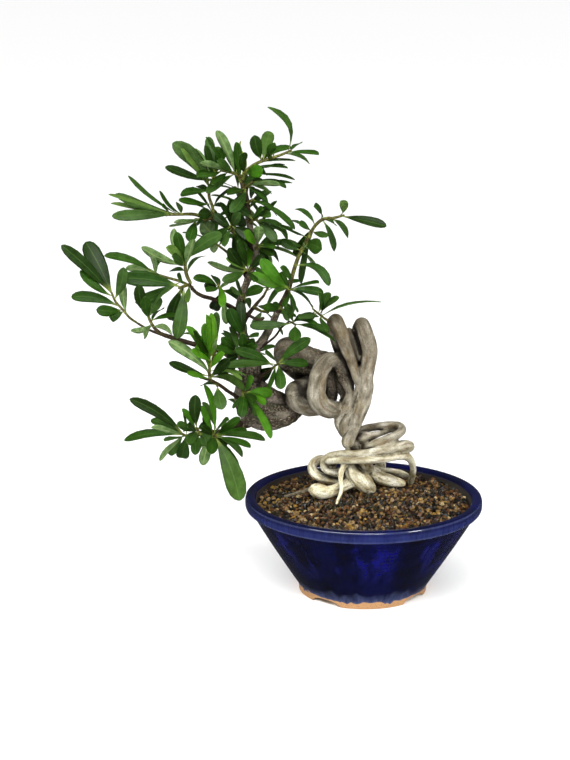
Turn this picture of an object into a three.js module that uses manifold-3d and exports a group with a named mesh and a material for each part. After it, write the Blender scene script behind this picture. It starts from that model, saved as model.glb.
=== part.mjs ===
// A firethorn bonsai in a round glazed pot: knotted roots and trunk grown as one piece,
// leafy shoots, gritty soil, and the mesh and wire clip over the drain hole. Millimetres, +Z up.
import * as THREE from "three";
import { mergeVertices } from "three/addons/utils/BufferGeometryUtils.js";
import Module from "manifold-3d";

const wasm = await Module();
wasm.setup();

// Sizes of the pot, with its axis on x = y = 0 and its foot on z = 0.
const RIM_RADIUS = 86;
const LIP_UNDERSIDE = 62.2;
const POT_HEIGHT = 71;
const NECK = { radius: 82.1, height: 61.2 };
const FOOT_RADIUS = 47;
const FOOT_INNER_RADIUS = 39.5;
const FOOT_HEIGHT = 5;
const FLOOR_UNDERSIDE = 6;
const FLOOR_TOP = 10.5;
const FLOOR_EDGE = { radius: 42.5, height: 13 };
const INNER_NECK = { radius: 77.4, height: 64 };
const LIP_INNER_RADIUS = 78.3;
const DRAIN_RADIUS = 12;
const POT_FACETS = 40;
const FOOT_ARCH = { count: 4, firstAngle: -38, halfWidth: 12, height: 4, past: 3, facets: 16 };

// The soil: a low mound, a little below the rim at its edge.
const CLEARANCE = 0.3;
const SOIL_EDGE_HEIGHT = 66;
const SOIL_MOUND = 6.5;
const MESH_RECESS = { radius: 27, height: 14.4 };

// The drain mesh and the wire that holds it.
const MESH_SIZE = 34;
const MESH_THICKNESS = 1;
const MESH_HOLES = 5;
const MESH_HOLE_SIZE = 3.6;
const MESH_PITCH = 6;
const WIRE_RADIUS = 0.6;
const WIRE_LEG = 6;
const WIRE_FOOT = 20;
const WIRE_BEND = 1.6;
const WIRE_SIDES = 6;
const WIRE_STEPS = 20;

// Leaves and shoots.
const LEAF_THICKNESS = 0.5;
const SHOOT_GAP = 0.3;
const DEPTH_TRIES = [0, 5, -5, 10, -10, 15, -15, 21, -21, 27, -27, 34, -34];
const TURN_TRIES = [0, 0.4, -0.4, 0.8, -0.8, 1.2, -1.2];
const GOLDEN_TURN = 2.39996;
const GOLDEN_SHARE = 0.618;
const LEAF_SLANT = 1.04;
const LEAF_LENGTH = 24;
const LEAF_LONGER = 6;
const LEAF_WIDTH = 7.6;
const LEAF_SLENDERNESS = 0.25;
const LEAF_ARCH = 0.1;
const LEAF_KEPT = 0.96;
const LEAF_HOLD = 0.02;
const LEAF_CROSSING = 0.15;
const BASE_SPACING = 1.1;
const BASE_PLACES = 5;
const BASE_TRIES = [0, 0.15, -0.15, 0.3, -0.3];
const BASE_ASIDE = 0.5;
const LOWEST_BASE = 0.12;
const HIGHEST_BASE = 0.97;
const LEAF_OUTLINE = [[-0.03, 0], [0.62, -0.5], [1, 0], [0.62, 0.5]];

// Round strands: one side more from each of these radii on, and the lengths of their steps.
const STRAND_SIDES = [2.4, 5, 7.4];
const STRAND_STRIDE = 2.5;
const SHORTEST_STRIDE = 5.5;
const LONGEST_STRIDE = 9;
const SEED_RADIUS = 0.05;
const SHORTEST_EDGE = 0.004;

// Where the tree is looked at from. Points are drawn on the upright plane through the
// trunk and then pushed back along the line of sight, so the outline stays as drawn.
const EYE = new THREE.Vector3(-57, -1245, 467);

function place([across, up, behind]) {
  const drawn = new THREE.Vector3(across, 0, up);
  return drawn.clone().addScaledVector(drawn.clone().sub(EYE), -behind / EYE.y);
}

// Every strand is a list of points: across, up, behind and radius.
// The knotted roots, from the upper loops down to the coils on the soil.
const COILED_ROOTS = [
  // Right upper loop, down the front, round the elbow and through the upper coil.
  [[-4, 176, 13, 4], [-5, 187, 12, 4.6], [-4, 195, 8, 5], [-2.2, 197.3, 3, 5.2], [0.4, 190, 0, 5.7],
   [3.2, 180, 0, 5.6], [3, 172, 0, 5.6], [1, 160, 0, 5.2], [0.3, 150, 0, 6], [-1.1, 140, -1, 5.4],
   [-4.6, 130, -2, 5.1], [-7.4, 121, -3, 4.6], [-10, 115, -5, 4.3], [-11.4, 110.4, -6, 5],
   [-7.5, 107, -1, 3.8], [-2, 105.6, 2, 3], [4, 107.2, -4, 3.1], [10, 109.5, -6, 3.4],
   [17, 112.6, -5, 3.4], [24, 116, -1, 3.3], [27.4, 119.4, 4, 3.2], [25.5, 122.2, 10, 3.2],
   [18, 122.6, 14, 3.2], [10, 122, 15, 3.2], [3, 121, 14, 3], [-4, 119, 9, 2.6]],
  // Left upper loop, running down into the right one.
  [[-17, 174, 12, 3.8], [-21, 187, 12, 4.4], [-23, 196, 9, 4.9], [-21, 200, 4, 5],
   [-18.6, 195.5, 1, 5.1], [-16.2, 189, 0, 5.1], [-13.2, 180, 0, 4.8], [-9.6, 171, 0, 4.1],
   [-7, 163, -1, 3.5], [-4.5, 156, -1.5, 3.6], [-1.5, 148, 1, 3.5]],
  // Thin root beside it.
  [[-11.5, 193, 5, 2.2], [-9.8, 188, 3.6, 2.3], [-7, 180, 3.5, 2.2], [-4, 172, 4, 2.2]],
  // The round loop at the left, then down beside the front root and out to the right.
  [[-14, 137, 8, 4.5], [-20, 134.8, 1, 6], [-26, 135, -4, 6.6], [-31, 138, -6, 6.8],
   [-34.2, 144, -7, 6.8], [-34.6, 151, -7, 6.7], [-33.4, 159, -6, 6.6], [-30.6, 166, -4, 6.3],
   [-25.8, 171, 0, 5.8], [-20.2, 170.3, 5, 5.3], [-17.4, 165, 7, 5], [-15.2, 158.5, 6, 4.5],
   [-12, 152.5, 3, 3.5], [-10.4, 146, 0, 3.2], [-12.4, 140.3, -1, 3.3], [-15.6, 135, -1, 3.5],
   [-17.4, 130, -1, 3.4], [-18.6, 125.5, 0, 3.1], [-17, 120.5, 2, 3.1], [-13.5, 116.3, 4, 3.4],
   [-7, 113.6, 4, 4.2], [0, 113.9, 2, 4.7], [6, 115.2, 4, 3.1], [12, 117, 8, 2.1],
   [19, 119.4, 12, 2], [24.5, 121.6, 11, 2.4]],
  // Dark strands behind the round loop.
  [[-27, 168, 12, 4.5], [-25.5, 160, 15, 5], [-24.3, 152, 16, 4.9], [-24, 145, 15, 4.6],
   [-26, 137, 11, 4.6]],
  [[-18, 163, 10, 3.8], [-17.4, 156, 12, 3.6], [-16.8, 150, 12, 3], [-15.6, 144, 10, 1.9],
   [-15, 138, 7, 2.4]],
  [[-19, 171, 8, 4.6], [-15.4, 165, 10, 5.1], [-13.6, 158, 10, 5], [-11.4, 152, 9, 4.2],
   [-11.5, 147, 8, 3.2], [-12.5, 142, 6, 2.6], [-13, 137, 4, 2.6]],
  [[-6.4, 177, 9, 2.6], [-4.6, 170, 9, 3], [-3, 163, 6, 2.6]],
  // Two thin strands wound between the front roots.
  [[-5.4, 152, -3, 1.4], [-6.6, 147, -3.4, 1.6], [-9.2, 139.5, -3.4, 1.7], [-12.4, 132.5, -3, 1.6],
   [-14.5, 129, -1.5, 1.4]],
  [[-7, 137, -2, 2], [-10, 132.5, -3, 2.2], [-12.8, 127.5, -3.5, 3.2], [-14.2, 122, -3, 3.5],
   [-13.4, 116.5, -2, 3], [-11, 112, -1, 3]],
  // Long coil: in at the back right, across the front and round the left bend.
  [[18, 104, 26, 3.4], [29, 106, 18, 3.8], [32.6, 107, 9, 4.2], [29.5, 107.6, 1, 4.4],
   [22, 106.4, -6, 3.8], [12, 104, -10, 3], [2, 102.6, -12, 2.6], [-8, 102, -12, 2.4],
   [-18, 102, -9, 2.3], [-26, 99.8, -4, 2.3], [-29.4, 95, 0, 2.3], [-28.4, 90.4, 1, 2.4],
   [-23.5, 88, 3, 2.7], [-16, 88, 6, 3.2], [-9, 89.5, 8, 3.6]],
  // Its twin just under it, down at the right into the soil.
  [[-22, 94.5, 9, 2.4], [-25.6, 95.8, 3, 2.8], [-24.5, 97, -4, 2.9], [-15, 97, -9, 2.9],
   [-4, 96.9, -12, 3], [6, 97.1, -12, 3], [16, 98.2, -9, 3], [25, 99.9, -4, 3],
   [31.2, 99.4, 2, 3], [34.6, 95.4, 8, 2.6], [35.7, 90, 15, 2.4], [35.2, 85, 22, 2.4],
   [34.4, 80.5, 27, 2.4]],
  // Loop at the far left, down to the soil.
  [[18, 104, 26, 3.4], [2, 101.5, 28, 3.8], [-13, 98.5, 26, 3.8], [-25, 97, 20, 3.6],
   [-33, 97, 14, 3.5], [-37, 93.2, 10, 3.4], [-36.6, 88.2, 6, 3.5], [-32.6, 84.6, 5, 3.5],
   [-26, 82.6, 8, 3.4], [-19, 81, 10, 3.4], [-11, 79, 12, 4]],
  // Stout pale root, down to the right.
  [[-10, 95.5, -4, 3.6], [-9, 91, -3, 4.6], [-7.6, 87, -2, 5.8], [-3.6, 83, -1, 6.9],
   [1.2, 78.8, 0, 6.5], [4.6, 75.6, 1, 4.8]],
  // Root behind it, running right in a spindle.
  [[-6, 91.5, 4, 2.6], [1, 91, 5, 2.2], [6.5, 90.6, 9, 2], [10.5, 88.6, 14, 2]],
  [[1.5, 88.4, 4, 1.6], [6, 86, 8, 3], [12, 83.4, 12, 4.5], [18, 81.7, 14, 4.8],
   [24, 80.2, 15, 4.1], [27.8, 79.4, 15, 3]],
  // Root at the back right.
  [[6, 91.5, 14, 2], [12, 89.6, 18, 2.3], [20, 88.2, 23, 2.5], [26.5, 87, 26, 2.8],
   [30.2, 85.4, 27, 2.6]],
  // Cut root stub at the front left, with a dead end on the soil.
  [[-34.4, 73.6, -15, 5.2], [-31, 72.8, -14, 5.8], [-26.5, 72.4, -12, 4.8], [-21, 74, -9, 4.1],
   [-15, 77, -6, 4], [-8, 80.5, -1, 4.4]],
  [[-34, 76.5, -14, 1.7], [-41, 74.2, -13, 1.6], [-49, 71.5, -13, 1.4], [-57, 69.3, -14, 1.1]],
  // Thin root at the front.
  [[-12.5, 94.5, -8, 2.2], [-14.8, 91.5, -9, 2.2], [-16.4, 87, -11, 2.1], [-16.6, 82, -13, 1.9],
   [-15.9, 77, -15, 1.7], [-16.6, 71.5, -17, 1.5], [-18.6, 66.5, -20, 1.3], [-19.4, 63, -22, 1.1]],
  // Roots at the back that carry the coils.
  [[-14, 140, 9, 4], [-11.5, 130, 9, 4.5], [-9.5, 119, 8, 4.5], [-9, 109, 7, 4.5], [-7, 99, 5, 4.5],
   [-3, 91, 6, 5]],
  [[-20, 98, 24, 3.6], [-24, 92, 30, 3.8], [-24, 86, 34, 4], [-20, 79, 36, 4], [-24, 66, 38, 3],
   [-29, 56, 38, 1.6]],
  [[6, 101, 28, 3.6], [12, 95, 34, 4], [11, 89, 38, 4.2], [7, 82, 40, 4], [12, 68, 42, 3],
   [18, 58, 42, 1.6]],
  [[0, 96, -6, 4], [2, 91, 6, 5], [2, 85, 14, 6], [0, 76, 20, 6.5], [-1, 62, 20, 4.6],
   [-2, 46, 18, 2]],
];

// Root ends that stop in the open, and the turn of the swollen loop.
const ROUND_ENDS = [
  [-34.4, 73.6, -15, 5.2], [4.6, 75.6, 1, 4.8], [27.8, 79.4, 15, 3], [30.2, 85.4, 27, 2.6],
  [-49.6, 147.4, 1, 8.1],
];

// The trunk: the arch at the upper left, the swollen loop, and the rough trunk that turns up.
const TRUNK = [
  [[-22, 170.5, 7, 5], [-30, 172.3, 5, 5.4], [-36, 173.2, 4, 6.4], [-42, 175, 3, 6.8],
   [-49, 178.4, 3, 7.2], [-55.5, 180.8, 5, 7.2], [-58.4, 177, 9, 7], [-57, 171, 15, 6.6],
   [-51, 165, 21, 6.6], [-43, 159.5, 22, 6.8], [-36, 155, 17, 6.8]],
  [[-56, 168, 15, 5], [-48, 167, 12, 6], [-40, 166, 9, 6], [-33, 164, 6, 5]],
  [[-33, 156, 14, 6.4], [-41, 152, 8, 7.4], [-49.6, 147.4, 1, 8.1]],
  [[-49.6, 147.4, 1, 8.1], [-47.4, 141.4, 1, 7.9], [-41, 137.8, 2, 7.5], [-33, 136.8, 5, 6.5],
   [-25, 138, 9, 5]],
  [[-42, 152, 19, 6], [-46, 143, 16, 7.4], [-53, 134.8, 10, 8.6], [-60, 131, 6, 9.5],
   [-68, 130.2, 4, 10.6], [-75.4, 131.2, 4, 11.6], [-80.5, 138, 6, 11.3], [-82.5, 148, 8, 10.3],
   [-82, 158, 9, 8.8], [-80.6, 167, 9, 7], [-79.6, 175, 8, 5]],
  [[-79, 150, 8, 8.5], [-71, 144.5, 8, 8.2], [-63, 141, 9, 7.8], [-56, 136.5, 12, 7]],
];

const BRANCHES = [
  // Leader, up to the apex.
  [[-80.4, 168, 9, 6], [-83.4, 179, 10, 4], [-87.6, 192, 11, 3.3], [-89.6, 206, 11, 3],
   [-87, 219, 9, 2.7], [-83, 230, 7, 2.5], [-79, 241, 5, 2.3], [-77, 250, 5, 2.3],
   [-79, 259, 6, 2.3], [-82, 269, 7, 2.3], [-83.3, 281, 7, 2.1], [-85, 292, 7, 1.9],
   [-87.4, 299, 6, 1.5]],
  // Right branch.
  [[-80, 169, 8, 5.4], [-77.8, 178, 5, 3.4], [-72, 187, 2, 2.9], [-66.5, 197, 0, 2.5],
   [-62, 207, -2, 2.2], [-57.4, 216, -4, 2], [-54.4, 223, -5, 1.8], [-52.2, 231, -6, 1.5]],
  // Upper left branch.
  [[-77.5, 250, 5, 2], [-84, 256.5, 9, 1.9], [-91, 262.4, 12, 1.9], [-99, 267.8, 13, 1.8],
   [-107, 272.2, 13, 1.6], [-114, 274.2, 12, 1.3]],
  // Middle left branch.
  [[-89.4, 203, 11, 2.6], [-94, 209, 7, 1.8], [-101, 212.6, 3, 1.6], [-109, 216, 0, 1.5],
   [-116, 218, -2, 1.4], [-121, 221.4, -4, 1.3], [-124.4, 226, -5, 1.1]],
  // Lower left branch and its side twig.
  [[-82, 170, 8, 4], [-92, 176, 2, 2.4], [-104, 178.5, -4, 2.1], [-116, 181.5, -8, 1.9],
   [-127, 184.3, -10, 1.8], [-137, 187.5, -11, 1.7], [-146, 191, -12, 1.5],
   [-150, 195, -13, 1.2]],
  [[-140, 188.6, -11, 1.4], [-148, 191, -8, 1], [-156, 194.6, -6, 0.9], [-162, 198.4, -5, 0.8]],
  // Twigs at the front.
  [[-84, 138, -2, 2.4], [-92, 144.5, -11, 1.4], [-98, 148.5, -16, 1.3], [-104, 153, -20, 1.2],
   [-110, 156.3, -23, 1.1], [-117.5, 158.3, -24, 0.8]],
  [[-80, 128, -4, 3.4], [-90, 124, -12, 2.1], [-100, 119.5, -20, 1.7], [-110, 117, -26, 1.5],
   [-119, 116, -29, 1.2], [-127, 114.8, -30, 0.9]],
  [[-80, 156, 5, 3], [-75.6, 158.4, -1, 2.2], [-71, 161.5, -6, 1.3], [-66, 165, -11, 1]],
  [[-77.6, 178.5, 4, 1.8], [-70, 183.6, 0, 0.9], [-64, 188.6, -4, 0.8], [-59.4, 195, -7, 0.7],
   [-54, 199.4, -9, 0.7]],
  [[-89, 207, 10, 1.8], [-82, 203.4, 5, 1.1], [-75, 200.4, 0, 1.1], [-72.6, 201.8, -1, 1.2]],
  // Twigs at the back.
  [[-88, 196, 12, 2.4], [-84, 203, 24, 1.7], [-78, 211, 36, 1.3], [-72, 218, 46, 1]],
  [[-83, 231, 8, 2.2], [-88, 238, 20, 1.6], [-94, 246, 32, 1.2], [-100, 251, 42, 0.9]],
  [[-82, 160, 14, 3], [-88, 165, 26, 2], [-94, 171, 38, 1.5], [-101, 176, 48, 1.1]],
  [[-72, 129, 10, 3], [-80, 124, 24, 1.9], [-90, 121, 36, 1.4], [-99, 120, 44, 1]],
];

// The leafy shoots. stem: across, up, behind and radius. leaves: place along the stem from
// 0 to 1, the tip's across and up, the width seen from the front (negative where the pale
// underside shows), and how far the middle bows to the left of the way to the tip.
const SHOOTS = {
  left_tip: {
    stem: [[-162, 198.4, -5, 0.8], [-167, 202, -8, 0.9], [-172, 208, -10, 0.9],
      [-177, 214, -11, 0.9], [-179.4, 220, -11, 0.8]],
    leaves: [[1, -214, 254, 8.5, -1.5], [1, -197, 256.5, 12.5, -1], [0.98, -201.5, 236, 6.5, 2],
      [0.7, -208, 217, 8, -3], [0.5, -190.5, 208, 8, 1], [0.3, -181.5, 202, 8, 0],
      [0.85, -170.5, 238.5, 8, -1.5], [0.45, -171.3, 227.5, -6, 1]],
  },
  left_middle: {
    stem: [[-150, 195, -13, 1.2], [-152.5, 199.5, -15, 1.1], [-154.6, 205, -16, 0.9]],
    leaves: [[1, -160, 226, 8, 2], [0.9, -147.5, 217.5, 9, -1], [0.8, -138, 222.5, 2.2, 2.5],
      [0.7, -143, 208.6, 2.2, 1.5], [1, -156, 217.5, 7.5, 1], [0.5, -132.5, 204, 4, 1],
      [0.35, -137, 191, -5, 1], [0.5, -166, 192.4, -5, 2], [0.5, -157, 188.4, -4.5, 0]],
  },
  left_long: {
    stem: [[-124.4, 226, -5, 1.1], [-127.6, 225, -8, 1.2], [-131.6, 223.6, -11, 1.1]],
    leaves: [[1, -171.5, 230.5, 11, -2], [0.9, -137.5, 200, 9.5, -1], [0.85, -134, 187, 10, 1],
      [0.75, -131.4, 234.6, 2.6, 2], [0.5, -125.6, 213.6, 4.6, 0], [0.6, -129.4, 217.6, 3, 0]],
  },
  left_behind: {
    stem: [[-122.6, 224, -3, 1.2], [-130, 228, 2, 1.1], [-140, 231, 6, 1], [-149.5, 234, 8, 0.9]],
    leaves: [[1, -184, 246.4, 5.6, -3], [0.95, -141, 247, 6, 3], [1, -151, 248, -4, 0],
      [0.9, -169, 237, -5, -2], [0.8, -163, 213, 7, 1]],
  },
  left_upper: {
    stem: [[-123.8, 227.4, -4, 1.2], [-126, 232, -3, 1.4], [-127.2, 238, -3, 1.3],
      [-126.6, 244, -4, 1.2]],
    leaves: [[0.7, -101, 262, 10, 2.5], [0.5, -113, 246.8, 3, 3], [1, -133, 263.5, 7.5, 0],
      [0.95, -158, 252.6, -6.5, 2], [1, -140.4, 252.6, 6, -2], [0.95, -134.6, 266, -6, 3],
      [0.8, -136.5, 246.4, 6, 0], [0.7, -137.4, 236.6, 3.6, 0], [0.9, -121.5, 258, -6, 0]],
  },
  upper_left_hanging: {
    stem: [[-109, 273, 12, 1.4], [-114.5, 272, 7, 1.1], [-119.6, 272.4, 4, 1]],
    leaves: [[0.95, -124.2, 257, 8, 0], [0.8, -108, 262, -12, 0], [1, -134.5, 270.4, -3, 1],
      [1, -137.5, 267.6, -2, 1], [0.7, -115.6, 274.6, 7, 4]],
  },
  upper_left_tip: {
    stem: [[-114, 274.2, 12, 1.3], [-121.5, 276, 11, 1.2], [-132, 275.8, 9, 1],
      [-143, 275.4, 6, 0.8]],
    leaves: [[1, -178, 274.6, 8, -0.5], [0.95, -175, 290.4, 6.5, 3], [1, -180, 290, 3, 0],
      [1, -178.4, 284.4, 3.2, 1], [0.96, -142.4, 281.4, 2, 0], [0.62, -166, 303, 3, 3.5],
      [0.3, -144, 292.6, 3, 3], [0.5, -131, 284, 4, 1]],
  },
  upper_left_top: {
    stem: [[-106.5, 272.3, 13, 1.4], [-107.6, 281, 14, 1.1], [-110, 289, 13, 1.1],
      [-108.6, 297, 12, 1.1], [-105, 304.5, 11, 1]],
    leaves: [[0.5, -135, 325.4, 12, -5], [1, -140, 309.4, 6, 1.5], [0.9, -129, 321.6, 4, 0],
      [0.95, -121.6, 321, -4.6, -2], [1, -112.6, 324, 5, 0], [1, -110, 330, 7, 0],
      [0.75, -118, 302, 5, -2], [0.5, -130, 290, 6, -1], [0.42, -131, 286, 5, 1],
      [1, -103, 323.5, 8, 0], [0.97, -98.6, 322.4, 6, 0], [0.3, -99, 282, 3.4, 0],
      [0.75, -114, 292.6, 5, 0], [0.7, -117.5, 296, 4, 0], [0.25, -117, 276.4, 8, 0],
      [0.25, -91, 295.4, 2.6, 2]],
  },
  apex_left: {
    stem: [[-87.4, 299, 6, 1.5], [-90, 303.4, 4, 1.3], [-95.6, 305.6, 2, 1.1],
      [-101.4, 306.6, 0, 0.9]],
    leaves: [[0.6, -104, 334.6, -7, -1], [0.35, -102.6, 327, 4.6, -2.5], [0.3, -91, 326.4, 6, 0],
      [0.2, -89, 322.4, 3, -3], [0.75, -103.6, 313.5, 6, 0], [0.4, -87.4, 327, 2, 0],
      [1, -118.4, 302.6, 4.4, 1], [0.9, -112, 329.6, 2.4, 0], [0.8, -116, 312, -5, 0],
      [0.5, -97, 320, 6, 0], [0.6, -111.6, 290.6, 6, -1], [0.2, -84, 319, 5, 0],
      [0.85, -108, 297, 5, 0]],
  },
  apex_right: {
    stem: [[-86.6, 300.4, 5, 1.3], [-83.4, 306.6, 0, 1.3], [-77, 311.4, -3, 1.2],
      [-68.6, 314.6, -5, 1.1], [-60, 317.4, -6, 1], [-53, 320.4, -7, 0.8]],
    leaves: [[0.35, -78, 331, 8.4, 1], [0.4, -67, 333.6, 8.8, 1], [0.5, -64, 325.6, 6, 1],
      [0.5, -52.4, 322.8, 5, 2], [1, -69, 350.5, 4.2, -7.5], [1, -46, 326.2, 2, 0],
      [0.95, -33.6, 317.6, 3.2, 1], [0.96, -39.8, 311.8, 3.2, 1], [0.2, -72.6, 307, 9.5, 0],
      [0.5, -70, 325, 5, 0], [0.6, -66, 317, 6, 0], [0.5, -50, 313.4, 1.6, 0.5],
      [0.35, -55, 308.4, 1.8, 0.5], [0.3, -57, 310.6, 1.8, 0], [0.25, -50, 300.4, 2.2, 1],
      [0.3, -70, 305, 5, 0], [0.15, -88, 318, 6, 0]],
  },
  apex_below: {
    stem: [[-85.4, 293.5, 7, 1.4], [-83, 296, 3, 1.1], [-80, 298.6, -1, 0.9]],
    leaves: [[1, -56, 294.6, 3.6, 2.5], [0.95, -52, 297.8, 2.2, 0], [0.95, -60.5, 296.4, -4.4, 1],
      [0.7, -69, 284.6, 5, 0.5], [0.8, -70.6, 287, 2, 0], [0.6, -79.5, 289.5, 6, 0],
      [0.5, -95.4, 278, 8.5, 2], [1, -66, 291, 3, 0], [0.3, -97, 290, 5, 0], [0.9, -72, 300, 5, 0]],
  },
  leader_right: {
    stem: [[-83.4, 283, 7, 1.4], [-81.4, 285.2, 3, 1], [-79.4, 286.4, -1, 0.9]],
    leaves: [[1, -50, 265.4, 4.3, 2.5], [1, -62.5, 275.4, 3.6, 1.5], [0.9, -73, 283.4, 2.6, 0],
      [0.8, -74.8, 276, 2, 0], [0.7, -100.5, 289, 1.8, 2]],
  },
  centre_right_upper: {
    stem: [[-82, 269.5, 7, 1.4], [-79, 271.8, 1, 1], [-76.6, 272.4, -3, 0.9]],
    leaves: [[1, -66.8, 274, 4, 2.5], [1, -67, 270.8, 3.2, -1], [0.85, -63.4, 256.6, 7.4, 1.5],
      [0.8, -55, 257, 5, 5], [0.7, -72, 279.5, 3.4, 1], [0.2, -98, 281, 9, -2.5],
      [0.9, -57, 262.8, 2, 0], [0.5, -70, 281, 5, 0]],
  },
  centre: {
    stem: [[-77.6, 251.6, 5, 1.4], [-76.6, 253.4, -2, 1], [-76, 254.6, -6, 0.9]],
    leaves: [[1, -75, 267.6, -7.6, 0], [0.9, -46, 254.4, 5, 1.5], [0.8, -64.6, 251.8, 3, 1],
      [0.75, -61.2, 242.6, 4.8, 2], [0.9, -86, 264, 6, 0], [0.7, -70, 239.6, 6, 1],
      [0.5, -65, 247, 5, 0], [0.95, -48, 246, 2.6, 1], [0.6, -63, 262, 5, 0]],
  },
  centre_left: {
    stem: [[-80.6, 236.6, 6, 1.4], [-83, 236.4, 1, 1.2], [-85, 236, -3, 1]],
    leaves: [[0.9, -96.4, 252, 8, 1], [0.8, -81.6, 257, 7, -1], [1, -101.4, 229, 7, 1],
      [1, -111, 242.2, -4.6, 3], [0.95, -98.6, 244.6, 5, 0], [0.9, -89, 254, 5, 0],
      [0.8, -79, 228, 4, 1], [0.9, -97, 239, 6, 0], [0.8, -90, 257, 6, 0], [0.5, -72, 247, 6, 0]],
  },
  centre_left_upper: {
    stem: [[-93, 263.8, 12, 1.4], [-94.2, 266.4, 6, 1], [-94.6, 268, 2, 0.9]],
    leaves: [[1, -79, 259, 9, 0], [0.9, -84, 270.6, 9, 2], [0.8, -99.4, 253.4, 5, -1],
      [1, -101.6, 284, 4.2, 0], [0.95, -88, 277, 7, 1], [0.9, -107, 259, 6, 0],
      [0.9, -96, 286, 5, 0], [0.6, -90, 247, 7, 0], [0.4, -84, 250, 6, 0], [0.7, -107, 276, 7, 0]],
  },
  centre_low_right: {
    stem: [[-86.6, 220.6, 9, 1.4], [-86.6, 217.6, 4, 1], [-86, 215.6, 0, 0.9]],
    leaves: [[1, -72.6, 223.4, 7.4, 2], [1, -81, 211.4, 6, 0], [0.9, -92, 228.4, 3, 0],
      [0.95, -96, 224, 4, 0]],
  },
  hanging_bright: {
    stem: [[-100.8, 212.6, 3, 1.4], [-101, 217, 0, 0.9], [-103, 222, -2, 0.9],
      [-103.6, 226.4, -3, 0.8]],
    leaves: [[0.95, -101.4, 209.6, 6, 1], [0.6, -107.6, 207.8, 8.4, 0],
      [0.98, -121.6, 230.4, 5.4, -2], [1, -107.6, 232, 4.6, 0], [1, -97.8, 227, -3, 0],
      [0.95, -84.6, 213, 7, 2], [0.9, -112.4, 221, 5, 0], [0.35, -98.5, 197.6, -5.6, 0],
      [0.95, -114, 226, 6, 0]],
  },
  lower_upright: {
    stem: [[-84.6, 183, 10, 1.4], [-85.4, 185.6, 4, 1.2], [-85.6, 188, -1, 1]],
    leaves: [[1, -96.6, 209, 9, 1], [1, -88, 214, 7.4, 1], [0.8, -76, 188.4, 2.6, 1.5],
      [0.9, -91, 203, 6, 0]],
  },
  right_round: {
    stem: [[-54, 199.4, -9, 0.7], [-52, 198.6, -11, 0.8], [-49.6, 197, -13, 0.8]],
    leaves: [[1, -50, 184.8, 9, 0], [0.7, -82, 196.6, 7, 1], [0.9, -57.6, 211.4, 5, -1],
      [1, -33.4, 203.6, 5, 1], [1, -34, 197, 2.4, 2], [1, -25.4, 192, 5, 1],
      [1, -21.2, 184.2, 2.8, 2.5], [1, -45.4, 204.4, 3, 0]],
  },
  right_branch_leaves: {
    stem: [[-54.4, 223, -5, 1.4], [-54, 222.6, -10, 1], [-53.8, 222, -13, 0.9]],
    leaves: [[0.9, -74, 244.4, 9, 1], [1, -80.4, 234, 8, 1], [0.7, -60.4, 238.4, 3, -3],
      [0.8, -60, 235, 5, 0], [1, -62.4, 220.6, 2.8, -1], [1, -50.4, 205.6, 4.2, 0],
      [0.9, -48.4, 206, 2.6, -1], [0.8, -30, 219.6, 6.4, 1], [0.8, -33, 227.2, 2.4, 0.5],
      [0.9, -37.6, 209.6, 2, 2], [1, -57, 211, 4, 0], [0.8, -66, 229, 5, 0]],
  },
  right_branch_side: {
    stem: [[-60.6, 209.6, -3, 1.4], [-59.6, 209, -9, 1], [-59.6, 208.4, -12, 0.9]],
    leaves: [[1, -72.2, 210.2, 6.4, 0], [0.9, -65, 213.6, 3, 0], [0.9, -54.4, 200, 4, 0],
      [1, -53, 205, 6, 0]],
  },
  right_tip: {
    stem: [[-52.2, 231, -6, 1.5], [-49.6, 240, -7, 1.5], [-46.6, 248, -8, 1.4],
      [-42.6, 256, -9, 1.3], [-39, 263, -10, 1.2], [-35, 269, -11, 1.2], [-30, 272.6, -12, 1.2],
      [-23, 273.4, -12, 1], [-16, 275.2, -12, 0.8]],
    leaves: [[0.98, 14, 267.4, 6.6, 0.5], [0.87, -13, 259.8, 4.7, 1.5], [0.56, -27.6, 260, 4.6, 0],
      [0.5, -21.4, 250.4, 5, 0], [0.42, -31.4, 251, 11, 1.5], [0.6, -50, 279.4, 3.6, -2.5],
      [0.54, -46.4, 268.6, 4, -1], [0.56, -54.4, 272, 2.2, -1], [0.78, -37, 281.4, 2.4, -2],
      [0.82, -21.6, 269, 4, 1], [1, -18, 285.2, 5, -2.5], [0.3, -38, 240.4, -2.6, 1],
      [0.36, -41.6, 253.4, -6, 0], [0.34, -60, 258, 6, 1], [0.12, -26, 225, 6.2, 6.5],
      [0.2, -46.4, 226.6, 5, 0], [0.45, -61, 267.4, 2.4, 0], [0.34, -50, 246, 8, 0]],
  },
  knot_top: {
    stem: [[-24.4, 199, 5, 1.4], [-29, 201.6, -1, 0.9], [-33.2, 205, -4, 0.9],
      [-37.4, 208.6, -6, 0.7]],
    leaves: [[0.75, -33, 219.4, 3.2, 0], [0.75, -26, 220.2, 6.2, 0], [0.75, -19, 216.6, 4, 1],
      [0.72, 11, 214.2, 1.7, 2.5], [0.95, -47.2, 202, 5, 1], [0.9, -40, 200.6, 4, 1],
      [0.6, -27.4, 192.8, 4.4, -1]],
  },
  knot_front: {
    stem: [[-66, 165, -11, 1], [-63.6, 167.4, -14, 0.9], [-61.4, 168.6, -16, 0.8]],
    leaves: [[1, -38.8, 187, 8, 1.5], [1, -40, 168.4, 6.4, 1], [0.95, -60, 149.8, 8, 0.5],
      [0.7, -75.6, 158, 9.5, 0], [0.8, -93, 178.6, 8, -2], [0.7, -100, 166.6, 6, -1],
      [1, -71, 176.2, 2.6, -1], [1, -55.6, 169.6, -2.6, 0], [0.9, -67.6, 150, 4, 0]],
  },
  bright: {
    stem: [[-110, 156.3, -23, 1.1], [-111, 160, -26, 1.2], [-110.6, 166, -28, 1.1],
      [-108, 173, -30, 0.9], [-106, 179, -31, 0.8]],
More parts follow.
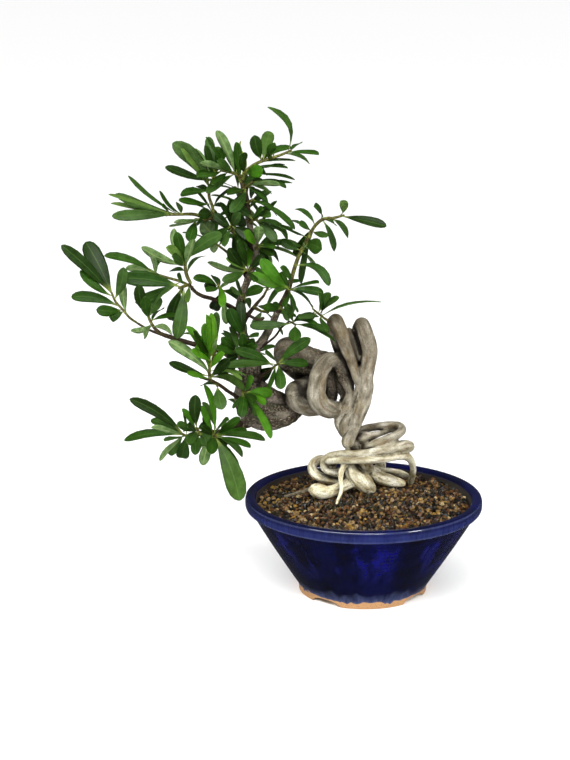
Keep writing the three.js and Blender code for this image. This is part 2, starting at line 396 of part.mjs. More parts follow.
    leaves: [[0.5, -127.4, 195.6, 5.4, -3], [0.4, -140, 185, -8, -2],
      [0.95, -112.6, 204.4, 4.4, 0], [0.7, -109.6, 205.6, 5.4, -3], [0.9, -114, 198, 6.6, 1],
      [0.75, -97.8, 181, 1.8, 0], [1, -105, 188, -3, 0], [0.3, -139.4, 169.6, 6, 1.5],
      [0.25, -126.2, 161.4, 4, 0], [0.3, -121, 170, -3, -2], [0.25, -87.6, 157, 2.6, 3],
      [0.2, -86, 149, 6.5, 4], [0.85, -122.6, 192.4, 4, 2], [0.6, -114.6, 186, 3.4, 0],
      [0.6, -100, 176, 5, 1], [0.5, -121, 181, 5, 0], [0.5, -96.6, 172, 7, 0],
      [0.35, -92, 167, 6.5, 0], [0.3, -84.5, 160, 2.2, 3.5], [0.4, -98, 162, 5, 1],
      [0.5, -124, 178, 5, 0]],
  },
  twig_hanging: {
    stem: [[-104.6, 153.2, -20, 1.2], [-106, 153.6, -24, 0.9], [-105.4, 152, -27, 0.8]],
    leaves: [[1, -102, 134.8, 9.4, -0.5], [0.8, -117, 152.6, 3, -1]],
  },
  middle_dark: {
    stem: [[-85, 173.4, 6, 1.4], [-88, 175, -4, 1.2], [-91, 177, -9, 1]],
    leaves: [[1, -102, 187.6, 7, 0], [0.9, -95.6, 195.6, 4.8, 0], [0.8, -77, 182, 6, 1],
      [1, -100.5, 193, 4, -1], [0.9, -88, 190, 6, 0], [0.7, -76, 174, 6, 0], [1, -106, 179, 6, 0],
      [0.95, -100, 182, 7, 0], [0.6, -79, 187, 6, 0], [0.9, -98, 171.6, 7, 0]],
  },
  low_front: {
    stem: [[-84.4, 146, -2, 1.4], [-85.6, 147.4, -11, 1.3], [-87.4, 147.6, -15, 1]],
    leaves: [[0.9, -89, 129, 8, 1], [0.7, -77, 129, 6.4, 2], [0.6, -67.4, 113, 5.6, 2],
      [0.7, -66, 146.4, 7.4, 1], [0.8, -71.6, 138, 5, 2], [1, -95, 136, 3, 1],
      [0.8, -80, 158.6, 5, 0], [0.7, -83, 136.6, 5, 0], [0.9, -80, 140, 6, 1]],
  },
  bottom_left: {
    stem: [[-127, 114.8, -30, 0.9], [-129.4, 115.6, -33, 1], [-131.4, 117, -34, 0.8]],
    leaves: [[0.9, -168.4, 142.6, 8, -3], [1, -153.4, 127, 6.4, -1], [1, -153.4, 121.6, -4, 0],
      [1, -173, 112, 6.4, -3], [0.9, -144, 111.4, 3, 0], [0.8, -140.4, 101, 6.4, 0],
      [0.85, -148, 96.6, -4, 0], [0.6, -131.4, 98.4, 9.4, 0], [0.5, -126, 108, 6, 0],
      [0.8, -130.4, 134.4, 2, 0]],
  },
  bottom_middle: {
    stem: [[-118, 116.1, -28, 1.2], [-120, 119, -33, 1.1], [-120.6, 121, -35, 0.9]],
    leaves: [[0.9, -121, 145.4, 8.8, 1], [0.8, -129.4, 136, 4.6, 1], [0.7, -122, 100.8, 7, 0],
      [0.6, -114, 107, 12, 2], [0.9, -135, 123.6, 6, 0], [0.8, -112, 124, 5, 0],
      [0.6, -127, 110, 8, 0], [0.9, -112, 111, 7, 0], [0.9, -127, 122, 6, 0]],
  },
  bottom_right: {
    stem: [[-109, 117.2, -25, 1.5], [-108, 115.4, -30, 1.1], [-106.6, 114.4, -33, 0.9]],
    leaves: [[0.5, -116.8, 137.6, 5, 0.5], [0.6, -115, 153, 4.8, -2.5], [0.4, -115.6, 130, 5, 0],
      [0.5, -116.4, 93, -8, -1], [0.6, -110, 102.4, 8, 0], [1, -71.4, 111.6, 5.8, 2.5],
      [1, -82, 106.6, 4.4, 1], [0.95, -87.6, 99.4, 5, 2.5], [0.8, -90, 66, 14.5, 2.5],
      [0.8, -91, 87.6, 7, 1], [0.6, -89, 128.4, 6, 0], [0.5, -84.6, 120.6, 5, -1],
      [0.7, -97, 127, 2.4, 1], [0.9, -117, 122, 6, 0], [0.7, -99, 108, 6, 0]],
  },
};

// Shoots that fill the crown's back, hidden from the front. Their leaves are set round the
// stem by the golden turn.
const BACK_SHOOTS = {
  back_top: { stem: [[-85, 290, 8, 1.4], [-88, 292, 18, 1], [-92, 295, 26, 0.9]], count: 5 },
  back_upper: { stem: [[-83, 276, 8, 1.4], [-84, 279, 20, 1], [-87, 283, 30, 0.9]], count: 5 },
  back_upper_left: { stem: [[-104, 270.6, 14, 1.4], [-106, 274, 24, 1], [-108, 278, 33, 0.9]], count: 5 },
  back_right_upper: { stem: [[-80, 262, 7, 1.4], [-77, 264, 18, 1], [-74, 266, 28, 0.9]], count: 5 },
  back_right: { stem: [[-72, 218, 46, 1], [-70, 222, 52, 0.9], [-67, 227, 57, 0.8]], count: 5 },
  back_right_low: { stem: [[-79, 209.6, 33, 1.5], [-74, 207, 38, 1], [-69, 206, 44, 0.9]], count: 5 },
  back_middle: { stem: [[-100, 251, 42, 0.9], [-104, 254, 48, 0.9], [-108, 257, 53, 0.8]], count: 5 },
  back_middle_right: { stem: [[-91, 242, 27, 1.4], [-88, 247, 33, 1], [-86, 253, 39, 0.9]], count: 5 },
  back_left: { stem: [[-101, 176, 48, 1.1], [-105, 180, 54, 0.9], [-108, 184, 59, 0.8]], count: 5 },
  back_left_low: { stem: [[-91, 168, 32, 1.4], [-88, 173, 40, 1], [-86, 179, 46, 0.9]], count: 5 },
  back_bottom: { stem: [[-99, 120, 44, 1], [-104, 119, 50, 0.9], [-109, 119, 55, 0.8]], count: 5 },
  back_bottom_right: { stem: [[-86, 122, 31, 1.4], [-84, 126, 40, 1], [-82, 131, 46, 0.9]], count: 5 },
};
const BACK_LEAF = { first: 0.45, along: 0.5, spread: 1.05, length: 27, shorter: 7, width: 6.4 };

function solidOf(geometry) {
  geometry.deleteAttribute("normal");
  geometry.deleteAttribute("uv");
  const merged = mergeVertices(geometry, 1e-4);
  const corners = merged.index.array;
  const triangles = [];
  for (let index = 0; index < corners.length; index += 3) {
    const [a, b, c] = corners.slice(index, index + 3);
    if (a !== b && b !== c && c !== a) triangles.push(a, b, c);
  }
  return new wasm.Manifold(new wasm.Mesh({
    numProp: 3,
    vertProperties: merged.attributes.position.array,
    triVerts: new Uint32Array(triangles),
  }));
}

function joined(solids) {
  return wasm.Manifold.union(solids);
}

function largestBody(solid) {
  return solid.decompose().reduce((best, body) => (body.volume() > best.volume() ? body : best));
}

function roundSection(sides, radius) {
  const section = new THREE.Shape();
  for (let side = 0; side < sides; side++) {
    const turn = (side / sides) * Math.PI * 2;
    if (side === 0) section.moveTo(radius, 0);
    else section.lineTo(radius * Math.cos(turn), radius * Math.sin(turn));
  }
  return section;
}

// A round strand along its points, each with its own radius. Extra thickens it all over.
function strand(points, extra = 0) {
  const placed = points.map(place);
  const count = placed.length;
  if (extra > 0) {
    placed[0].add(placed[0].clone().sub(placed[1]).setLength(extra));
    placed[count - 1].add(placed[count - 1].clone().sub(placed[count - 2]).setLength(extra));
  }
  const curve = new THREE.CatmullRomCurve3(placed, false, "centripetal");
  const thickest = Math.max(...points.map((point) => point[3]));
  const sides = 4 + STRAND_SIDES.filter((radius) => thickest > radius).length;
  const stride = THREE.MathUtils.clamp(thickest * STRAND_STRIDE, SHORTEST_STRIDE, LONGEST_STRIDE);
  const steps = Math.max(2, Math.round(curve.getLength() / stride));
  const section = roundSection(sides, SEED_RADIUS);
  const geometry = new THREE.ExtrudeGeometry(section, { steps, extrudePath: curve });
  const radii = [];
  const centres = [];
  for (let step = 0; step <= steps; step++) {
    const along = curve.getUtoTmapping(step / steps) * (count - 1);
    const index = Math.min(Math.floor(along), count - 2);
    const here = points[index][3];
    radii.push(here + (points[index + 1][3] - here) * (along - index) + extra);
    centres.push(curve.getPointAt(step / steps));
  }
  const position = geometry.attributes.position;
  const vertex = new THREE.Vector3();
  for (let index = 0; index < position.count; index++) {
    vertex.fromBufferAttribute(position, index);
    const distances = centres.map((centre) => centre.distanceToSquared(vertex));
    const nearest = distances.indexOf(Math.min(...distances));
    vertex.sub(centres[nearest]).multiplyScalar(radii[nearest] / SEED_RADIUS).add(centres[nearest]);
    position.setXYZ(index, vertex.x, vertex.y, vertex.z);
  }
  return solidOf(geometry);
}

// A rounded end on a strand that stops in the open.
function roundEnd([across, up, behind, radius], extra = 0) {
  const ball = new THREE.SphereGeometry(radius + extra, 8, 6);
  const centre = place([across, up, behind]);
  return solidOf(ball.translate(centre.x, centre.y, centre.z));
}

function wood(extra) {
  const strands = [...COILED_ROOTS, ...TRUNK, ...BRANCHES].map((points) => strand(points, extra));
  const ends = ROUND_ENDS.map((point) => roundEnd(point, extra));
  return joined([...strands, ...ends]);
}

// An evenly spread share from 0 to 1 for each number in turn.
function varied(index) {
  return (index * GOLDEN_SHARE) % 1;
}

// A leaf blade: its outline bent along the midrib, turned so that it shows the given width
// to someone looking along sight. A negative width shows the underside.
function leaf(base, tip, widthSeen, bow, sight) {
  const chord = tip.clone().sub(base);
  const left = chord.clone().cross(sight).normalize();
  const width = Math.max(Math.abs(widthSeen), Math.min(LEAF_SLENDERNESS * chord.length(), LEAF_WIDTH));
  const bend = base.clone().add(tip).multiplyScalar(0.5)
    .addScaledVector(left, 2 * bow)
    .addScaledVector(sight, -LEAF_ARCH * chord.length());
  const midrib = new THREE.QuadraticBezierCurve3(base, bend, tip);
  const roll = Math.acos(Math.min(1, Math.abs(widthSeen) / width));
  const turn = Math.sign(widthSeen) * left.z > 0 ? -roll : roll;
  const middle = midrib.getTangent(0.5);
  const flat = middle.clone().cross(sight).normalize();
  const facing = middle.clone().cross(flat);
  const side = flat.multiplyScalar(Math.cos(turn)).addScaledVector(facing, Math.sin(turn));
  const blade = middle.clone().cross(side);
  const corners = LEAF_OUTLINE.map(([along, half]) => new THREE.Vector2(along, half * width));
  const outline = new THREE.Shape(corners);
  const geometry = new THREE.ExtrudeGeometry(outline, { depth: LEAF_THICKNESS, bevelEnabled: false });
  const position = geometry.attributes.position;
  for (let index = 0; index < position.count; index++) {
    const along = position.getX(index);
    const tangent = midrib.getTangent(along);
    const across = blade.clone().cross(tangent).normalize();
    const normal = tangent.clone().cross(across);
    const point = midrib.getPoint(along)
      .addScaledVector(across, position.getY(index))
      .addScaledVector(normal, position.getZ(index) - LEAF_THICKNESS / 2);
    position.setXYZ(index, point.x, point.y, point.z);
  }
  return solidOf(geometry);
}

// The places a front leaf may take: its tip on its line of sight, at the depth that gives
// the leaf its natural length, then nearer and further; its base then further up the stem.
function frontLeaves({ stem, leaves }) {
  const curve = new THREE.CatmullRomCurve3(stem.map(place), false, "centripetal");
  const spacing = BASE_SPACING / curve.getLength();
  return leaves.map(([at, across, up, width, bow], index) => BASE_TRIES.flatMap((higher) => {
    const wanted = at - spacing * (index % BASE_PLACES) + higher;
    const start = THREE.MathUtils.clamp(wanted, LOWEST_BASE, HIGHEST_BASE);
    const base = curve.getPoint(start);
    const aside = place([across, up, base.y]).sub(base);
    const tangent = curve.getTangent(start);
    aside.normalize();
    aside.addScaledVector(tangent, -aside.dot(tangent));
    base.addScaledVector(aside, BASE_ASIDE);
    const drawn = place([across, up, base.y]).distanceTo(base);
    const natural = Math.max(drawn * LEAF_SLANT, LEAF_LENGTH + LEAF_LONGER * varied(index));
    const lean = Math.sqrt(natural * natural - drawn * drawn) * (index % 2 ? 1 : -1);
    return DEPTH_TRIES.map((further) => {
      const tip = place([across, up, base.y + lean + further]);
      const sight = tip.clone().add(base).multiplyScalar(0.5).sub(EYE).normalize();
      return () => leaf(base, tip, width, bow, sight);
    });
  }));
}

// The places a back leaf may take: round its stem by the golden turn, then turned on.
function backLeaves({ stem, count }) {
  const curve = new THREE.CatmullRomCurve3(stem.map(place), false, "centripetal");
  const axis = curve.getTangent(1);
  const first = axis.clone().cross(new THREE.Vector3(0, 0, 1)).normalize();
  const second = axis.clone().cross(first);
  const down = new THREE.Vector3(0, 0, -1);
  return Array.from({ length: count }, (_, index) => {
    const base = curve.getPoint(BACK_LEAF.first + (BACK_LEAF.along * index) / (count - 1));
    const length = BACK_LEAF.length - BACK_LEAF.shorter * varied(index);
    return TURN_TRIES.map((turn) => {
      const round = index * GOLDEN_TURN + turn;
      const tip = base.clone()
        .addScaledVector(axis, length * Math.cos(BACK_LEAF.spread))
        .addScaledVector(first, length * Math.sin(BACK_LEAF.spread) * Math.cos(round))
        .addScaledVector(second, length * Math.sin(BACK_LEAF.spread) * Math.sin(round));
      return () => leaf(base, tip, BACK_LEAF.width, 0, down);
    });
  });
}

function boxesNear(one, other, gap) {
  return [0, 1, 2].every((axis) =>
    one.min[axis] - gap < other.max[axis] && other.min[axis] - gap < one.max[axis]);
}

function clearOf(solid, others, gap) {
  const box = solid.boundingBox();
  return others.every((other) =>
    !boxesNear(box, other.box, gap) || solid.minGap(other.solid, gap) >= gap);
}

function boxed(solid) {
  return { solid, box: solid.boundingBox() };
}

// Every shoot: its stem, clear of the wood and of the stems before it, and each leaf in the
// first of its places that keeps it clear of everything else.
function shoots(fatWood) {
  const entry = ([name, shoot], placed) => ({ name, shoot, leaves: placed(shoot) });
  const front = Object.entries(SHOOTS).map((pair) => entry(pair, frontLeaves));
  const back = Object.entries(BACK_SHOOTS).map((pair) => entry(pair, backLeaves));
  const all = [...front, ...back];
  const fatStems = [];
  for (const entry of all) {
    const cutters = fatStems.length ? joined(fatStems) : null;
    const bare = strand(entry.shoot.stem).subtract(fatWood);
    entry.stem = largestBody(cutters ? bare.subtract(cutters) : bare);
    entry.parts = [entry.stem];
    fatStems.push(strand(entry.shoot.stem, SHOOT_GAP));
  }
  const taken = all.map((entry) => ({ ...boxed(entry.stem), owner: entry.name }));
  for (const entry of all) {
    for (const places of entry.leaves) {
      const others = taken.filter((other) => other.owner !== entry.name);
      const own = taken.filter((other) => other.owner === entry.name && other.solid !== entry.stem);
      let best = null;
      for (const make of places) {
        const whole = make();
        const blade = largestBody(whole.subtract(fatWood));
        if (blade.volume() < LEAF_KEPT * whole.volume()) continue;
        if (blade.intersect(entry.stem).volume() < LEAF_HOLD) continue;
        if (!clearOf(blade, others, SHOOT_GAP)) continue;
        const crossing = own.reduce((sum, other) => sum + blade.intersect(other.solid).volume(), 0);
        if (!best || crossing < best.crossing) best = { blade, crossing };
        if (crossing < LEAF_CROSSING) break;
      }
      if (best) {
        entry.parts.push(best.blade);
        taken.push({ ...boxed(best.blade), owner: entry.name });
      }
    }
  }
  return all.map((entry) => [entry.name, largestBody(joined(entry.parts).subtract(fatWood))]);
}

function lathe(profile) {
  const points = profile.map(([radius, height]) => new THREE.Vector2(radius, height));
  const geometry = new THREE.LatheGeometry([...points, points[0]], POT_FACETS);
  return solidOf(geometry.rotateX(Math.PI / 2));
}

function pot() {
  const body = lathe([
    [FOOT_INNER_RADIUS, 0],
    [FOOT_RADIUS - 0.5, 0],
    [FOOT_RADIUS, FOOT_HEIGHT],
    [NECK.radius, NECK.height],
    [RIM_RADIUS - 0.6, LIP_UNDERSIDE + 0.6],
    [RIM_RADIUS, POT_HEIGHT - 2.2],
    [RIM_RADIUS - 2, POT_HEIGHT],
    [LIP_INNER_RADIUS + 1, POT_HEIGHT - 0.2],
    [LIP_INNER_RADIUS, POT_HEIGHT - 1.6],
    [INNER_NECK.radius, INNER_NECK.height],
    [FLOOR_EDGE.radius, FLOOR_EDGE.height],
    [FLOOR_EDGE.radius - 2.5, FLOOR_TOP],
    [DRAIN_RADIUS, FLOOR_TOP],
    [DRAIN_RADIUS, FLOOR_UNDERSIDE],
    [FOOT_INNER_RADIUS, FLOOR_UNDERSIDE],
  ]);
  const arches = Array.from({ length: FOOT_ARCH.count }, (_, index) => {
    const turn = FOOT_ARCH.firstAngle + (index * 360) / FOOT_ARCH.count - 90;
    const reach = FOOT_RADIUS - FOOT_INNER_RADIUS + 2 * FOOT_ARCH.past;
    const arch = new THREE.CylinderGeometry(1, 1, reach, FOOT_ARCH.facets);
    arch.scale(FOOT_ARCH.halfWidth, 1, FOOT_ARCH.height);
    arch.translate(0, (FOOT_RADIUS + FOOT_INNER_RADIUS) / 2, 0);
    arch.rotateZ(THREE.MathUtils.degToRad(turn - 90));
    return solidOf(arch);
  });
  return body.subtract(joined(arches));
}

function soil(fatWood) {
  const mound = lathe([
    [0, SOIL_EDGE_HEIGHT + SOIL_MOUND],
    [22, SOIL_EDGE_HEIGHT + 0.86 * SOIL_MOUND],
    [48, SOIL_EDGE_HEIGHT + 0.42 * SOIL_MOUND],
    [INNER_NECK.radius - CLEARANCE, SOIL_EDGE_HEIGHT],
    [INNER_NECK.radius - CLEARANCE, INNER_NECK.height + 0.1],
    [FLOOR_EDGE.radius - CLEARANCE, FLOOR_EDGE.height + 0.2],
    [FLOOR_EDGE.radius - 2.6, FLOOR_TOP + CLEARANCE],
    [MESH_RECESS.radius, FLOOR_TOP + CLEARANCE],
    [MESH_RECESS.radius, MESH_RECESS.height],
    [0, MESH_RECESS.height],
  ].reverse());
  return largestBody(mound.subtract(fatWood));
}

function box(width, depth, height, x, y, bottom) {
  const geometry = new THREE.BoxGeometry(width, depth, height);
  return solidOf(geometry.translate(x, y, bottom + height / 2));
}

function drainageMesh() {
  const bottom = FLOOR_TOP + CLEARANCE;
  const plate = box(MESH_SIZE, MESH_SIZE, MESH_THICKNESS, 0, 0, bottom);
  const holes = [];
  const middle = (MESH_HOLES - 1) / 2;
  for (let row = 0; row < MESH_HOLES; row++) {
    for (let column = 0; column < MESH_HOLES; column++) {
      const x = (column - middle) * MESH_PITCH;
      const y = (row - middle) * MESH_PITCH;
      holes.push(box(MESH_HOLE_SIZE, MESH_HOLE_SIZE, 3 * MESH_THICKNESS, x, y, bottom - MESH_THICKNESS));
    }
  }
  return plate.subtract(joined(holes));
}

function clipWire() {
  const under = FLOOR_UNDERSIDE - CLEARANCE - WIRE_RADIUS;
  const over = FLOOR_TOP + 2 * CLEARANCE + MESH_THICKNESS + WIRE_RADIUS;
  const side = [
    [WIRE_LEG - WIRE_BEND, over],
    [WIRE_LEG - 0.3 * WIRE_BEND, over - 0.3 * WIRE_BEND],
    [WIRE_LEG, over - WIRE_BEND],
    [WIRE_LEG, under + WIRE_BEND],
    [WIRE_LEG + 0.3 * WIRE_BEND, under + 0.3 * WIRE_BEND],
    [WIRE_LEG + WIRE_BEND, under],
    [WIRE_FOOT, under],
  ];
  const right = side.map(([x, z]) => new THREE.Vector3(x, 0, z));
  const left = side.map(([x, z]) => new THREE.Vector3(-x, 0, z)).reverse();
  const curve = new THREE.CatmullRomCurve3([...left, ...right], false, "centripetal");
  const section = roundSection(WIRE_SIDES, WIRE_RADIUS);
  const geometry = new THREE.ExtrudeGeometry(section, { steps: WIRE_STEPS, extrudePath: curve });
  return solidOf(geometry);
}

// The largest body of the solid, with its shortest edges drawn together.
function tidied(solid) {
  const mesh = solid.getMesh();
  const source = mesh.vertProperties;
  const kept = Array.from({ length: source.length / 3 }, (_, index) => index);
  const root = (index) => (kept[index] === index ? index : root(kept[index]));
  const at = (index) => new THREE.Vector3().fromArray(source, index * 3);
  for (let index = 0; index < mesh.triVerts.length; index += 1) {
    const next = index % 3 === 2 ? index - 2 : index + 1;
    const one = root(mesh.triVerts[index]);
    const other = root(mesh.triVerts[next]);
    if (one !== other && at(one).distanceTo(at(other)) < SHORTEST_EDGE) kept[other] = one;
  }
  const triangles = [];
  for (let index = 0; index < mesh.triVerts.length; index += 3) {
    const [a, b, c] = mesh.triVerts.slice(index, index + 3).map(root);
    if (a !== b && b !== c && c !== a) triangles.push(a, b, c);
  }
  return largestBody(new wasm.Manifold(new wasm.Mesh({
    numProp: 3,
    vertProperties: source,
    triVerts: new Uint32Array(triangles),
  })));
}

function named(name, solid, material) {
  const mesh = tidied(solid).getMesh();
  const geometry = new THREE.BufferGeometry();
  geometry.setAttribute("position", new THREE.BufferAttribute(mesh.vertProperties, 3));
  geometry.setIndex(new THREE.BufferAttribute(mesh.triVerts, 1));
  geometry.computeVertexNormals();
  const node = new THREE.Mesh(geometry, new THREE.MeshStandardMaterial(material));
  node.name = name;
  return node;
}

const GLAZE = { color: "#1a2040", roughness: 0.22, metalness: 0 };
const GRIT = { color: "#5b4a34", roughness: 0.95, metalness: 0 };
const BARK = { color: "#a59883", roughness: 0.85, metalness: 0 };
const MESH_PLASTIC = { color: "#2c2f31", roughness: 0.6, metalness: 0 };
const WIRE = { color: "#8c7a66", roughness: 0.4, metalness: 1 };
const LEAVES = { color: "#3f5f2b", roughness: 0.5, metalness: 0 };

const tree = wood(0);
const fatTree = wood(CLEARANCE);
const bonsai = new THREE.Group();
bonsai.add(named("pot", pot(), GLAZE));
bonsai.add(named("soil", soil(fatTree), GRIT));
bonsai.add(named("trunk_and_roots", largestBody(tree), BARK));
bonsai.add(named("drainage_mesh", drainageMesh(), MESH_PLASTIC));
bonsai.add(named("mesh_clip_wire", clipWire(), WIRE));
for (const [name, solid] of shoots(fatTree)) {
  bonsai.add(named(`shoot_${name}`, solid, LEAVES));
}

const bounds = new THREE.Box3().setFromObject(bonsai);
const middle = bounds.getCenter(new THREE.Vector3());
bonsai.position.set(-middle.x, -middle.y, -bounds.min.z);

const part = new THREE.Group();
part.name = "firethorn_bonsai";
part.add(bonsai);

export default part;
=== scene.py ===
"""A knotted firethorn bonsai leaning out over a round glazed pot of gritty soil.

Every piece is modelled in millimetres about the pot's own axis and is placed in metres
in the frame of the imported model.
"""
import logging
import math
import random
from dataclasses import dataclass, field
from enum import Enum

import bmesh
import bpy
from mathutils import Matrix, Vector, noise
from mathutils.bvhtree import BVHTree
from mathutils.kdtree import KDTree


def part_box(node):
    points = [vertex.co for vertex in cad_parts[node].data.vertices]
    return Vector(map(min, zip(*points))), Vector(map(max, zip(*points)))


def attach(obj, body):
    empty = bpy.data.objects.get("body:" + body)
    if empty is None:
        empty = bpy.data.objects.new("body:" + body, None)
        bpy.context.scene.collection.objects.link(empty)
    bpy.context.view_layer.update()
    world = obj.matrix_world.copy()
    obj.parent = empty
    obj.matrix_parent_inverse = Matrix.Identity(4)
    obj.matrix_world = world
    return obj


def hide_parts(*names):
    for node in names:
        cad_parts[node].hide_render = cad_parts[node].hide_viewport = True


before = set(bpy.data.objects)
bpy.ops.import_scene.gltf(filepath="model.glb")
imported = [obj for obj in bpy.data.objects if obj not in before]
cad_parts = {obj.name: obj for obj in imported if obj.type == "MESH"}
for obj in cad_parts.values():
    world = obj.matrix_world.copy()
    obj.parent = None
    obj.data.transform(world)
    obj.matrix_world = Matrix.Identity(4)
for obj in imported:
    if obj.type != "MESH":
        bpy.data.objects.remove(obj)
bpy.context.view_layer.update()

LOG = logging.getLogger("bonsai")
MM = 0.001
BODY = "root"
UP = Vector((0, 0, 1))
GOLDEN_TURN = 2.39996
GOLDEN_SHARE = 0.618

# Where the tree is looked at from, in millimetres about the pot's axis, and how far the
# camera looks down. Points are drawn on the upright plane through the pot's axis and pushed
# back along the line of sight, as the part's own are.
EYE = Vector((-57, -1245, 467))
CAMERA_PITCH = math.radians(14)
LENS = 85.0
SENSOR = 36.0
# The angles towards the pole at which a strand's rounded end is cut.
CAP_ANGLES = [math.radians(angle) for angle in (20, 40, 60, 82)]

# A place and what is there: (across, up, behind, radius) in mm.
Row = tuple[float, ...]
# Where a leaf may be: its base, its tip and the line it is seen along.
Choice = tuple[Vector, Vector, Vector]


class Tone(Enum):
    """How light a leaf is, as a place on its colour ramp."""

    DARK = 0.0
    DEEP = 0.2
    # A greyed green for leaves that show a grey sheen: painted sheen.
    SHEEN_GREY = 0.3
    MIDDLE = 0.42
    LIGHT = 0.56
    BRIGHT = 0.7
    YELLOW = 1.0


# G marks the leaves with the greyed green of painted sheen.
D, M, L, G, B, Y = Tone.DARK, Tone.MIDDLE, Tone.LIGHT, Tone.SHEEN_GREY, Tone.BRIGHT, Tone.YELLOW


@dataclass(frozen=True)
class Shoot:
    """A leafy shoot: the rows of its stem, and its leaves.

    A leaf is (place along the stem, the tip's across and up, the width seen from the front,
    which is negative where the underside shows, how far the middle bows to the left, and a
    tone if it isn't the usual).
    """

    stem: list[Row]
    leaves: list[tuple] = field(default_factory=list)


